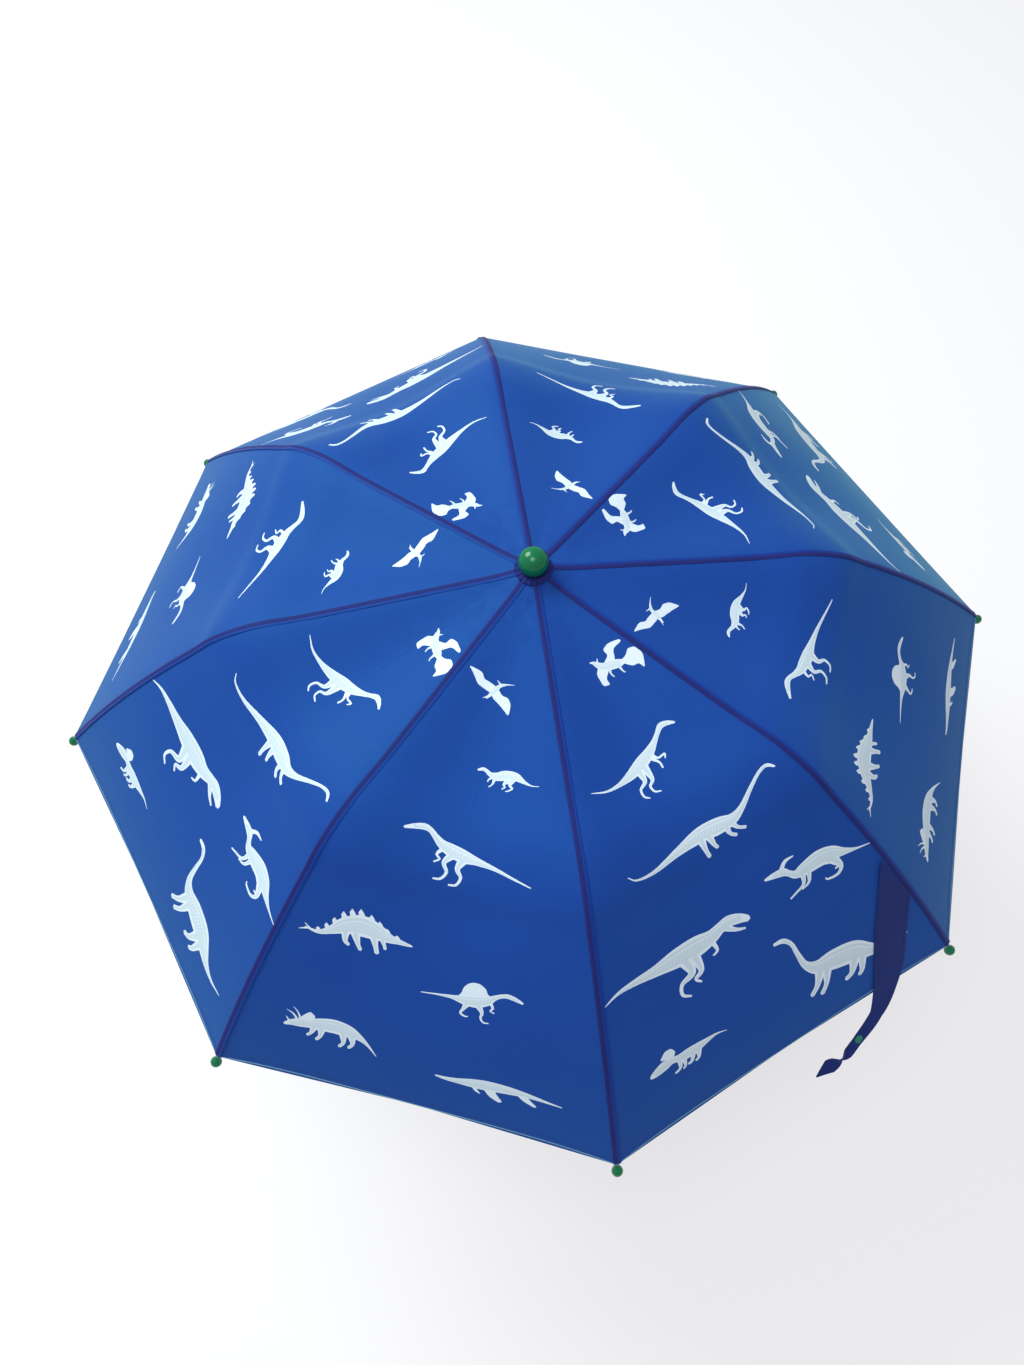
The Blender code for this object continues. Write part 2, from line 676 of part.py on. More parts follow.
def make_stretcher(rib, frame):
    length = STRETCHER_LENGTH + STRETCHER_OVERRUN
    side = [
        (STRETCHER_SLOT_START, STRETCHER_SLOT_HALF_WIDTH),
        (length, STRETCHER_SLOT_HALF_WIDTH),
        (length, STRETCHER_HALF_WIDTH),
        (TONGUE_LENGTH + 0.002, STRETCHER_HALF_WIDTH),
        (TONGUE_LENGTH, TONGUE_HALF_WIDTH),
        (-TONGUE_BACK, TONGUE_HALF_WIDTH),
    ]
    outline = side + [(x, -y) for x, y in reversed(side)]
    steel = new_material(f"stretcher_{rib}_steel", (0.60, 0.61, 0.63), 0.3, 1.0)
    mesh = plate_mesh("stretcher", outline, STRETCHER_HALF_HEIGHT)
    obj = add_object(f"stretcher_{rib}", mesh, steel, frame)
    place_on_rib(obj, (RUNNER_HINGE_RADIUS, RUNNER_Z), -STRETCHER_RISE)


clear_scene()
UMBRELLA = new_collection("childrens_umbrella")
CUTTERS = new_collection("cutters", hidden=True)
make_shaft()
make_top_notch()
make_knob()
make_collar()
make_canopy()
make_strap()
make_strap_fastener()
make_runner()
make_button()
make_handle()
for number in range(1, RIBS + 1):
    axis_frame = rib_frame(number)
    make_main_rib(number, axis_frame)
    make_middle_rib(number, axis_frame)
    make_outer_rib(number, axis_frame)
    make_rib_tip(number, axis_frame)
    make_stretcher(number, axis_frame)
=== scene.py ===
"""A children's folding umbrella, open and seen from above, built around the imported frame."""

import math
from bisect import bisect_right

import bmesh
import bpy
from mathutils import Matrix, Vector
from mathutils.geometry import delaunay_2d_cdt


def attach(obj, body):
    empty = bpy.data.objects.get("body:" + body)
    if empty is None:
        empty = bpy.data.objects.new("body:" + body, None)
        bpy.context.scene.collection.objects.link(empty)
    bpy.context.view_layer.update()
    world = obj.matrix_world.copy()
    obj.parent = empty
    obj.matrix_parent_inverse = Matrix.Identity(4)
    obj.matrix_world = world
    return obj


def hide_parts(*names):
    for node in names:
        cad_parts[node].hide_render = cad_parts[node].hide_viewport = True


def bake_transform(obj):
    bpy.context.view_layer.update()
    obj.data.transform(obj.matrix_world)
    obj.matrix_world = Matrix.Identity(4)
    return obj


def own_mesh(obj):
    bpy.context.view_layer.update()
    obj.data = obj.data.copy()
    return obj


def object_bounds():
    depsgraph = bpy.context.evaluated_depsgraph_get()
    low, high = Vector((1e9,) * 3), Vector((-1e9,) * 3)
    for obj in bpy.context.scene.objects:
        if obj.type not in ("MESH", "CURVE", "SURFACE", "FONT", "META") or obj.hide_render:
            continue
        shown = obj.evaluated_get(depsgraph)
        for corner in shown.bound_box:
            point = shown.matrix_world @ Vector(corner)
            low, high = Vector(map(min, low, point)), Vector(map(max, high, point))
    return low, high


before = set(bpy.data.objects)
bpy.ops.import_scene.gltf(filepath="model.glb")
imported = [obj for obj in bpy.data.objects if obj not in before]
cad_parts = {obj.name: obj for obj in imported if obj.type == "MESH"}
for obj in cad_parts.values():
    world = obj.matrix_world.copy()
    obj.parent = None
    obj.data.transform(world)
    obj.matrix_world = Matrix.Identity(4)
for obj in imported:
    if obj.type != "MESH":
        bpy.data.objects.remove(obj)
CAD_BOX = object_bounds()

# The frame's own sizes, in metres.
RIBS = 8
SECTOR = 2 * math.pi / RIBS
HALF_SECTOR = SECTOR / 2
FIRST_RIB_ANGLE = math.radians(90)
CROWN_Z = 0.540
CROWN_HINGE = (0.011, CROWN_Z)
RUNNER_HINGE_RADIUS = 0.010
MAIN_LENGTH = 0.145
MIDDLE_LENGTH = 0.125
OUTER_LENGTH = 0.227
MAIN_SLOPE = math.radians(8.0)
MIDDLE_SLOPE = math.radians(10.6)
OUTER_SLOPE_START = math.radians(31.5)
OUTER_SLOPE_END = math.radians(48.0)
FIRST_PIVOT_LIFT = 0.0018
SECOND_PIVOT_DROP = 0.0016
STRETCHER_LENGTH = 0.085
ATTACH_DISTANCE = 0.075
ATTACH_DROP = 0.0012
CANOPY_HOLE_RADIUS = 0.0050
CANOPY_APEX_Z = CROWN_Z + 0.0034
CROWN_FLAT_RADIUS = 0.0148
CANOPY_MEETS_RIB = 0.024
FABRIC_LIFT = 0.0022
CANOPY_BRIDGE = ((0.35, 0.0025), (0.7, 0.0070), (1.0, 0.0015))
FABRIC_MIDDLE = 0.0005
FABRIC_THICKNESS = 0.0003
GORE_SAG = 0.014
HEM_CURVE = 0.006
WRINKLE = 0.0005
HANDLE_RADIUS = 0.0135
HANDLE_TOP_Z = 0.029
HANDLE_END_Z = -0.035


# ---------------------------------------------------------------- node graphs


class Link:
    """One output of a node, which takes part in sums."""

    def __init__(self, graph, socket):
        self.graph = graph
        self.socket = socket

    def output(self, name):
        return Link(self.graph, self.socket.node.outputs[name])

    def sum(self, operation, *others):
        return self.graph.sum(operation, self, *others)

    def __add__(self, other):
        return self.sum("ADD", other)

    def __sub__(self, other):
        return self.sum("SUBTRACT", other)

    def __mul__(self, other):
        return self.sum("MULTIPLY", other)

    def __truediv__(self, other):
        return self.sum("DIVIDE", other)

    def __pow__(self, other):
        return self.sum("POWER", other)

    def __rsub__(self, other):
        return self.graph.sum("SUBTRACT", other, self)

    __radd__ = __add__
    __rmul__ = __mul__


class Graph:
    """A shader or geometry node tree that is written as expressions."""

    def __init__(self, tree):
        self.tree = tree

    def node(self, kind, settings=None, values=None, output=0):
        made = self.tree.nodes.new(kind)
        for key, value in (settings or {}).items():
            if key == "stops":
                ramp = made.color_ramp
                for place, colour in value[1:-1]:
                    ramp.elements.new(place).color = (*colour, 1.0)
                ends = (ramp.elements[0], value[0]), (ramp.elements[-1], value[-1])
                for element, (place, colour) in ends:
                    element.position = place
                    element.color = (*colour, 1.0)
            else:
                setattr(made, key, value)
        for key, value in (values or {}).items():
            socket = made.inputs[key]
            if isinstance(value, Link):
                self.tree.links.new(value.socket, socket)
            else:
                socket.default_value = value
        return Link(self, made.outputs[output]) if made.outputs else made

    def sum(self, operation, *values):
        return self.node("ShaderNodeMath", {"operation": operation}, dict(enumerate(values)))

    def vector(self, operation, *values, output=0):
        settings = {"operation": operation}
        return self.node("ShaderNodeVectorMath", settings, dict(enumerate(values)), output)

    def apart(self, vector):
        x = self.node("ShaderNodeSeparateXYZ", values={0: vector})
        return x, x.output("Y"), x.output("Z")

    def together(self, x, y, z):
        return self.node("ShaderNodeCombineXYZ", values={"X": x, "Y": y, "Z": z})

    def mixed(self, share, first, second):
        values = {0: share, 6: first, 7: second}
        return self.node("ShaderNodeMix", {"data_type": "RGBA"}, values, 2)

    def scaled(self, vector, factor):
        values = {0: vector, "Scale": factor}
        return self.node("ShaderNodeVectorMath", {"operation": "SCALE"}, values)

    def swept(self, path, profile):
        values = {"Curve": path, "Profile Curve": profile, "Fill Caps": True}
        return self.node("GeometryNodeCurveToMesh", None, values)

    def noise(self, vector, scale, detail=2.0, roughness=0.5):
        values = {"Vector": vector, "Scale": scale, "Detail": detail, "Roughness": roughness}
        return self.node("ShaderNodeTexNoise", None, values)


def new_tree(name, *inputs):
    """(tree, graph, what its inputs give) of a geometry tree with these (name, kind) inputs."""
    tree = bpy.data.node_groups.new(name, "GeometryNodeTree")
    tree.interface.new_socket("Result", in_out="OUTPUT", socket_type="NodeSocketGeometry")
    for label, kind in inputs:
        tree.interface.new_socket(label, in_out="INPUT", socket_type="NodeSocket" + kind)
    graph = Graph(tree)
    return tree, graph, graph.node("NodeGroupInput").output


def end_tree(graph, shape, material):
    """Realises the shape and gives it its material."""
    real = graph.node("GeometryNodeRealizeInstances", None, {"Geometry": shape})
    return graph.node("GeometryNodeSetMaterial", None, {"Geometry": real, "Material": material})


def colour4(colour):
    return (*colour, 1.0)


def new_surface(name, roughness, metallic=0.0, **constants):
    """(graph, shader, material), with the values that are the same all over set on the shader."""
    material = bpy.data.materials.new(name)
    material.use_nodes = True
    shader = material.node_tree.nodes["Principled BSDF"]
    shader.inputs["Roughness"].default_value = roughness
    shader.inputs["Metallic"].default_value = metallic
    for key, value in constants.items():
        shader.inputs[key.replace("_", " ")].default_value = value
    return Graph(material.node_tree), shader, material


def join_to(graph, shader, key, link):
    graph.tree.links.new(link.socket, shader.inputs[key])


def bumped(graph, shader, height, distance):
    values = {"Height": height, "Distance": distance, "Strength": 1.0}
    join_to(graph, shader, "Normal", graph.node("ShaderNodeBump", None, values))


THREAD_PITCH = 0.00042


def weave_height(u, v):
    """The height of a plain weave, from 0 to 1, with u across the cloth and v along it, in metres."""
    turn = 2 * math.pi / THREAD_PITCH
    return (u * turn).sum("SINE") * (v * turn).sum("SINE") * 0.5 + 0.5


def cloth_surface(name, colour, shade, roughness, crease=1.0, source="UV", **constants):
    """Thin woven cloth with old fold lines, on coordinates that are in metres."""
    graph, shader, material = new_surface(name, roughness, **constants)
    place = graph.node("ShaderNodeTexCoord", output=source)
    u, v, _ = graph.apart(place)
    broad = graph.noise(place, 9.0, 3.0)
    fine = graph.noise(place, 140.0, 2.0)
    share = (broad - 0.35) * 1.4 + (fine - 0.5) * 0.25
    join_to(graph, shader, "Base Color", graph.mixed(share, colour4(shade), colour4(colour)))
    join_to(graph, shader, "Roughness", (broad - 0.5) * 0.16 + (fine - 0.5) * 0.06 + roughness)
    wander = (graph.noise(place, 12.0, 1.0) - 0.5) * 0.010
    beside = (u + wander).sum("ABSOLUTE")
    fold = 1 - (beside * 900.0).sum("MINIMUM", 1.0)
    second = 1 - ((beside - 0.062).sum("ABSOLUTE") * 1100.0).sum("MINIMUM", 1.0)
    height = weave_height(u, v) * 0.05 + fold * (0.5 * crease) + second * (0.35 * crease)
    height = height + graph.noise(place, 60.0, 4.0, 0.6) * 0.9 * crease
    bumped(graph, shader, height, 0.00022)
    return material


def plastic_surface(name, colour, shade, roughness, grain=0.00002, **constants):
    """Moulded plastic with a faint grain and slight handling marks."""
    graph, shader, material = new_surface(name, roughness, **constants)
    place = graph.node("ShaderNodeTexCoord", output="Object")
    broad = graph.noise(place, 60.0, 2.0)
    fine = graph.noise(place, 900.0, 3.0)
    join_to(graph, shader, "Base Color", graph.mixed(broad, colour4(shade), colour4(colour)))
    join_to(graph, shader, "Roughness", (broad - 0.5) * 0.12 + (fine - 0.5) * 0.05 + roughness)
    bumped(graph, shader, fine, grain)
    return material


def steel_surface(name, colour, roughness, along=None):
    """Drawn steel, with fine lines along the shaft and a few dull spots."""
    graph, shader, material = new_surface(name, roughness, 1.0)
    place = graph.node("ShaderNodeTexCoord", output="Object")
    stretch = along or (1.0, 1.0, 0.04)
    lines = graph.noise(graph.vector("MULTIPLY", place, stretch), 2600.0, 2.0)
    spots = graph.noise(place, 130.0, 3.0)
    dull = tuple(c * 0.72 for c in colour)
    join_to(graph, shader, "Base Color", graph.mixed(spots, colour4(dull), colour4(colour)))
    join_to(graph, shader, "Roughness", (lines - 0.5) * 0.16 + (spots - 0.5) * 0.2 + roughness)
    bumped(graph, shader, lines, 0.00001)
    return material


BLUE_CLOTH = cloth_surface(
    "blue_taffeta",
    (0.014, 0.054, 0.320),
    (0.012, 0.045, 0.288),
    0.56,
    Sheen_Weight=0.22,
    Sheen_Roughness=0.55,
    Sheen_Tint=(0.04, 0.70, 0.72, 1.0),
    Specular_IOR_Level=0.18,
    Specular_Tint=(0.06, 1.00, 0.70, 1.0),
)
BLUE_UNDERSIDE = cloth_surface(
    "blue_taffeta_underside", (0.011, 0.042, 0.27), (0.009, 0.036, 0.24), 0.62, Specular_IOR_Level=0.3
)
PRINT_WHITE = cloth_surface(
    "print_white", (0.72, 0.84, 0.89), (0.66, 0.79, 0.85), 0.48, 0.6, Specular_IOR_Level=0.3
)
PRINT_GREY = cloth_surface(
    "print_grey_green", (0.58, 0.72, 0.77), (0.53, 0.68, 0.73), 0.50, 0.6, Specular_IOR_Level=0.3
)
NAVY_CLOTH = cloth_surface(
    "navy_strap_cloth",
    (0.020, 0.032, 0.185),
    (0.016, 0.024, 0.130),
    0.60,
    0.5,
    Specular_IOR_Level=0.3,
    Specular_Tint=(0.10, 0.45, 1.0, 1.0),
)
NAVY_BINDING = cloth_surface(
    "navy_binding",
    (0.022, 0.026, 0.170),
    (0.018, 0.020, 0.130),
    0.62,
    0.0,
    "Object",
    Specular_IOR_Level=0.2,
    Specular_Tint=(0.10, 0.45, 1.0, 1.0),
)
# Seam band cloth: the blue taffeta coloured darker than the canopy, painted shade along the felled fold
# beside each rib.
SEAM_CLOTH_PAINTED_SHADE = cloth_surface(
    "seam_blue_painted_shade",
    (0.010, 0.038, 0.280),
    (0.008, 0.032, 0.240),
    0.55,
    0.3,
    "Object",
    Specular_IOR_Level=0.3,
    Specular_Tint=(0.10, 0.60, 1.0, 1.0),
)
NAVY_THREAD = cloth_surface("navy_thread", (0.016, 0.035, 0.20), (0.010, 0.02, 0.13), 0.6, 0.0, "Object")
HEM_EDGE = cloth_surface("hem_edge", (0.17, 0.38, 0.47), (0.10, 0.26, 0.38), 0.55, 0.0, "Object")
CORD_LIME = cloth_surface("cord_lime", (0.52, 0.62, 0.004), (0.44, 0.56, 0.004), 0.66, 0.0, "Object")
CORD_FLECK = cloth_surface("cord_fleck", (0.24, 0.46, 0.012), (0.20, 0.40, 0.01), 0.66, 0.0, "Object")
GREEN_PLASTIC = plastic_surface(
    "gloss_green",
    (0.002, 0.175, 0.060),
    (0.002, 0.145, 0.050),
    0.20,
    Coat_Weight=0.2,
    Coat_Roughness=0.10,
    Specular_IOR_Level=0.3,
)
HANDLE_PLASTIC = plastic_surface("handle_green", (0.030, 0.400, 0.095), (0.024, 0.34, 0.08), 0.34, 0.00005)
HUB_PLASTIC = plastic_surface("hub_green", (0.012, 0.26, 0.085), (0.010, 0.22, 0.07), 0.40, 0.00004)
BUTTON_PLASTIC = plastic_surface("button_lime", (0.52, 0.66, 0.02), (0.46, 0.6, 0.02), 0.35)
PATCH_PLASTIC = plastic_surface("patch_green", (0.010, 0.22, 0.12), (0.008, 0.18, 0.10), 0.42)
TUBE_STEEL = steel_surface("tube_steel", (0.66, 0.67, 0.69), 0.24)
RIB_STEEL = steel_surface("rib_steel", (0.62, 0.63, 0.65), 0.32, (1.0, 1.0, 1.0))
PIN_STEEL = steel_surface("pin_steel", (0.58, 0.58, 0.60), 0.30, (1.0, 1.0, 1.0))


# ---------------------------------------------------------------- camera

CAMERA_PLACE = Vector((-0.0615, -0.4897, 1.2976))
CAMERA_AIM = Vector((0.0, 0.0, 0.2924))
CAMERA_ROLL = math.radians(-1.32)
CAMERA_SENSOR = 36.0
CAMERA_LENS = 28.19


def make_camera():
    data = bpy.data.cameras.new("studio_camera")
    data.sensor_width = CAMERA_SENSOR
    data.lens = CAMERA_LENS
    data.shift_x = -0.0180
    data.shift_y = 0.0143
    camera = bpy.data.objects.new("studio_camera", data)
    bpy.context.scene.collection.objects.link(camera)
    ahead = (CAMERA_AIM - CAMERA_PLACE).normalized()
    level = ahead.cross(Vector((0, 0, 1))).normalized()
    upright = level.cross(ahead)
    right = math.cos(CAMERA_ROLL) * level + math.sin(CAMERA_ROLL) * upright
    top = math.cos(CAMERA_ROLL) * upright - math.sin(CAMERA_ROLL) * level
    turn = Matrix((right, top, -ahead)).transposed().to_4x4()
    camera.matrix_world = Matrix.Translation(CAMERA_PLACE) @ turn
    bpy.context.scene.camera = camera


make_camera()


# ---------------------------------------------------------------- general helpers


def link_object(name, data):
    obj = bpy.data.objects.new(name, data)
    bpy.context.scene.collection.objects.link(obj)
    return obj


def evaluated_mesh(obj):
    """A plain mesh of what the object's modifiers make."""
    bpy.context.view_layer.update()
    graph = bpy.context.evaluated_depsgraph_get()
    return bpy.data.meshes.new_from_object(obj.evaluated_get(graph), depsgraph=graph)


def finished(name, obj):
    """The object's modifiers made into a plain mesh, on a new object that has none."""
    mesh = evaluated_mesh(obj)
    data = obj.data
    bpy.data.objects.remove(obj, do_unlink=True)
    if data.users == 0:
        (bpy.data.meshes if isinstance(data, bpy.types.Mesh) else bpy.data.curves).remove(data)
    mesh.name = name
    return link_object(name, mesh)


def smooth_route(route, spacing):
    """Points about spacing apart on a smooth curve through the route's points."""
    points = [Vector(p) for p in route]
    ends = [2 * points[0] - points[1], *points, 2 * points[-1] - points[-2]]
    found = []
    for a, b, c, d in zip(ends, ends[1:], ends[2:], ends[3:]):
        count = max(1, round((c - b).length / spacing))
        for i in range(count):
            t = i / count
            bend = (2 * a - 5 * b + 4 * c - d) * t * t + (3 * b - a - 3 * c + d) * t**3
            found.append(b + ((c - a) * t + bend) / 2)
    return found + [points[-1]]


def clamped(value, low=0.0, high=1.0):
    return min(max(value, low), high)


def running_lengths(points):
    """How far along the line through the points each of them is."""
    lengths = [0.0]
    for a, b in zip(points, points[1:]):
        lengths.append(lengths[-1] + (b - a).length)
    return lengths


def polyline(name, points):
    curve = bpy.data.curves.new(name, "CURVE")
    curve.dimensions = "3D"
    spline = curve.splines.new("POLY")
    spline.points.add(len(points) - 1)
    for target, point in zip(spline.points, points):
        target.co = (*point, 1.0)
    return link_object(name, curve)


def mesh_of(shape, name, *materials):
    """A mesh with the bmesh shape, which is then freed."""
    mesh = bpy.data.meshes.new(name)
    shape.to_mesh(mesh)
    shape.free()
    for material in materials:
        mesh.materials.append(material)
    return mesh


def rounded_box(size, axis, ease, segments):
    """A box, as a bmesh, whose edges along one axis are rounded."""
    shape = bmesh.new()
    bmesh.ops.create_cube(shape, size=1.0)
    bmesh.ops.scale(shape, vec=size, verts=shape.verts)
    lengthwise = [e for e in shape.edges if abs(e.verts[0].co[axis] - e.verts[1].co[axis]) > 1e-5]
    bmesh.ops.bevel(shape, geom=lengthwise, offset=ease, segments=segments, affect="EDGES")
    return shape


def settle(obj, body, node=None):
    """Rides a piece on its body, and hides the frame's node that it stands for."""
    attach(obj, body)
    if node:
        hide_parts(node)


def turned_mesh(name, profile, steps, material, sharp=35.0):
    """A closed solid turned about Z from (radius, height) points, from the top down its outer side."""
    shape = bmesh.new()
    rings = []
    for radius, height in profile:
        if radius < 1e-7:
            rings.append([shape.verts.new((0, 0, height))])
            continue
        angles = [2 * math.pi * i / steps for i in range(steps)]
        ring = [shape.verts.new((radius * math.cos(a), radius * math.sin(a), height)) for a in angles]
        rings.append(ring)
    for upper, lower in zip(rings, rings[1:]):
        for i in range(steps):
            j = (i + 1) % steps
            pairs = ((upper, i), (lower, i), (lower, j), (upper, j))
            corners = list(dict.fromkeys(ring[k % len(ring)] for ring, k in pairs))
            if len(corners) > 2:
                shape.faces.new(corners)
    bmesh.ops.remove_doubles(shape, verts=shape.verts, dist=1e-6)
    bmesh.ops.recalc_face_normals(shape, faces=shape.faces)
    for face in shape.faces:
        face.smooth = True
    mesh = mesh_of(shape, name, material)
    mesh.set_sharp_from_angle(angle=math.radians(sharp))
    return mesh


def around(point, pivot, angle):
    """A point of a rib's XZ plane, turned downwards by angle about pivot."""
    x, z = point[0] - pivot[0], point[1] - pivot[1]
    cos, sin = math.cos(angle), math.sin(angle)
    return pivot[0] + x * cos + z * sin, pivot[1] - x * sin + z * cos


def along(start, slope, distance, lift=0.0):
    return around((start[0] + distance, start[1] + lift), start, slope)


FIRST_JOINT = along(CROWN_HINGE, MAIN_SLOPE, MAIN_LENGTH)
FIRST_PIVOT = along(CROWN_HINGE, MAIN_SLOPE, MAIN_LENGTH, FIRST_PIVOT_LIFT)
SECOND_JOINT = along(FIRST_JOINT, MIDDLE_SLOPE, MIDDLE_LENGTH)
SECOND_PIVOT = along(FIRST_JOINT, MIDDLE_SLOPE, MIDDLE_LENGTH, -SECOND_PIVOT_DROP)
ATTACH = along(CROWN_HINGE, MAIN_SLOPE, ATTACH_DISTANCE, -ATTACH_DROP)
STRETCHER_RISE = math.acos((ATTACH[0] - RUNNER_HINGE_RADIUS) / STRETCHER_LENGTH)
RUNNER_Z = ATTACH[1] - STRETCHER_LENGTH * math.sin(STRETCHER_RISE)


def rib_angle(rib):
    return FIRST_RIB_ANGLE + (rib - 1) * SECTOR


def rib_turn(rib):
    return Matrix.Rotation(rib_angle(rib), 4, "Z")


def outer_point(distance):
    turn = OUTER_SLOPE_END - OUTER_SLOPE_START
    slope = OUTER_SLOPE_START + turn * distance / OUTER_LENGTH
    bend = OUTER_LENGTH / turn
    x = SECOND_JOINT[0] + bend * (math.sin(slope) - math.sin(OUTER_SLOPE_START))
    z = SECOND_JOINT[1] + bend * (math.cos(slope) - math.cos(OUTER_SLOPE_START))
    return x, z, slope


# ---------------------------------------------------------------- the canopy's rule


def section_stations():
    """(radius, height) of the cloth's middle above a rib, and which of them lie at the two rib joints."""
    lift = FABRIC_LIFT + FABRIC_MIDDLE
    line = []
    for share in (0.0, 0.35, 0.7, 1.0):
        distance = CANOPY_MEETS_RIB + share * (MAIN_LENGTH - CANOPY_MEETS_RIB)
        line.append((*along(CROWN_HINGE, MAIN_SLOPE, distance), MAIN_SLOPE))
    first = len(line) + 1
    for share, bridge in CANOPY_BRIDGE:
        distance = share * MIDDLE_LENGTH
        line.append((*along(FIRST_JOINT, MIDDLE_SLOPE, distance, bridge), MIDDLE_SLOPE))
    second = len(line) + 1
    for step in range(1, 9):
        line.append(outer_point(OUTER_LENGTH * 0.999 * step / 8))
    stations = [(CANOPY_HOLE_RADIUS, CANOPY_APEX_Z + FABRIC_MIDDLE)]
    stations.append((CROWN_FLAT_RADIUS, CANOPY_APEX_Z + FABRIC_MIDDLE))
    for x, z, slope in line:
        stations.append((x + lift * math.sin(slope), z + lift * math.cos(slope)))
    return stations, first, second


STATIONS, FIRST_STATION, SECOND_STATION = section_stations()
SECTION = smooth_route([(x, 0.0, z) for x, z in STATIONS], 0.002)
DISTANCES = running_lengths(SECTION)
CLOTH_LENGTH = DISTANCES[-1]


def distance_of(station):
    """How far along the section the given station is."""
    goal = Vector((STATIONS[station][0], 0.0, STATIONS[station][1]))
    nearest = min(range(len(SECTION)), key=lambda i: (SECTION[i] - goal).length)
    return DISTANCES[nearest]


ZONE_ENDS = (distance_of(FIRST_STATION), distance_of(SECOND_STATION))


def radius_at(distance):
    i = min(max(bisect_right(DISTANCES, distance), 1), len(DISTANCES) - 1)
    share = (distance - DISTANCES[i - 1]) / (DISTANCES[i] - DISTANCES[i - 1])
    return SECTION[i - 1].x + (SECTION[i].x - SECTION[i - 1].x) * share


def half_width(distance):
    """Half the width of a flat gore at this distance from the hole."""
    return radius_at(distance) * math.sin(HALF_SECTOR)


def gore_tree():
    """Bends a flat gore, with X along it and Y across it, into its place between two ribs."""
    floats = ("Length", "Half Sector", "Sag", "Hem Curve", "Wrinkle", "Turn", "Seed")
    inputs = [("Flat Cloth", "Geometry"), ("Section", "Object"), *((name, "Float") for name in floats)]
    tree, graph, value = new_tree("stretched_gore", *inputs, ("Material", "Material"))
    section = graph.node("GeometryNodeObjectInfo", None, {"Object": value("Section")}, "Geometry")
    distance, across_metres, _ = graph.apart(graph.node("GeometryNodeInputPosition"))
    length, half = value("Length"), value("Half Sector")

    def on_section(at):
        values = {"Curves": section, "Length": at}
        found = graph.node("GeometryNodeSampleCurve", {"mode": "LENGTH"}, values, "Position")
        x, _, z = graph.apart(found)
        return x, z

    sine, cosine = half.sum("SINE"), half.sum("COSINE")
    flat_radius, _ = on_section(distance)
    across = (across_metres / (flat_radius * sine)).sum("MINIMUM", 1.0).sum("MAXIMUM", -1.0)
    share = distance / length
    inward = 1 - across * across
    short = value("Hem Curve") * (1 - (across * across) ** 2.0) * share**4.0
    radius, height = on_section(distance - short)
    crest = (share * math.pi).sum("SINE")
    sag = value("Sag") * crest * crest * inward * inward
    seed = value("Seed")
    fine = graph.noise(graph.together(across * 5.0, distance * 5.0, seed), 1.0, 2.0) - 0.5
    broad = graph.noise(graph.together(across * 1.1, distance * 3.5, seed + 7.0), 1.0, 1.0) - 0.5
    near_crown = (distance * -9.0).sum("EXPONENT")
    start = (distance * 40.0).sum("MINIMUM", 1.0)
    wrinkle = value("Wrinkle") * inward * start * (fine * (near_crown * 2.6 + 0.35) + broad * 2.2 * crest)
    x, y = radius * cosine, radius * sine * across
    place = graph.together(x, y, height - sag + wrinkle)
    settings = {"rotation_type": "Z_AXIS"}
    turned = graph.node("ShaderNodeVectorRotate", settings, {"Vector": place, "Angle": value("Turn")})
    values = {"Geometry": value("Flat Cloth"), "Position": turned}
    moved = graph.node("GeometryNodeSetPosition", None, values)
    graph.node("NodeGroupOutput", None, {"Result": end_tree(graph, moved, value("Material"))})
    return tree


GORE_TREE = gore_tree()
SECTION_CURVE = polyline("rib_section", SECTION)


def add_tree(obj, tree, **values):
    """A Geometry Nodes modifier with its named inputs set."""
    modifier = obj.modifiers.new(tree.name, "NODES")
    modifier.node_group = tree
    for key, value in values.items():
        modifier[tree.interface.items_tree[key.replace("_", " ")].identifier] = value


def bent(flat_points, turn, seed):
    """Where the points of a flat gore, (along, across) in metres, lie on the canopy."""
    mesh = bpy.data.meshes.new("flat_points")
    mesh.from_pydata([(x, y, 0.0) for x, y in flat_points], [], [])
    obj = link_object("flat_points", mesh)
    add_tree(
        obj,
        GORE_TREE,
        Section=SECTION_CURVE,
        Length=CLOTH_LENGTH,
        Half_Sector=HALF_SECTOR,
        Sag=GORE_SAG,
        Hem_Curve=HEM_CURVE,
        Wrinkle=WRINKLE,
        Turn=turn,
        Seed=float(seed),
        Material=BLUE_CLOTH,
    )
    made = evaluated_mesh(obj)
    found = [v.co.copy() for v in made.vertices]
    bpy.data.meshes.remove(made)
    bpy.data.objects.remove(obj, do_unlink=True)
    bpy.data.meshes.remove(mesh)
    return found


# ---------------------------------------------------------------- prints

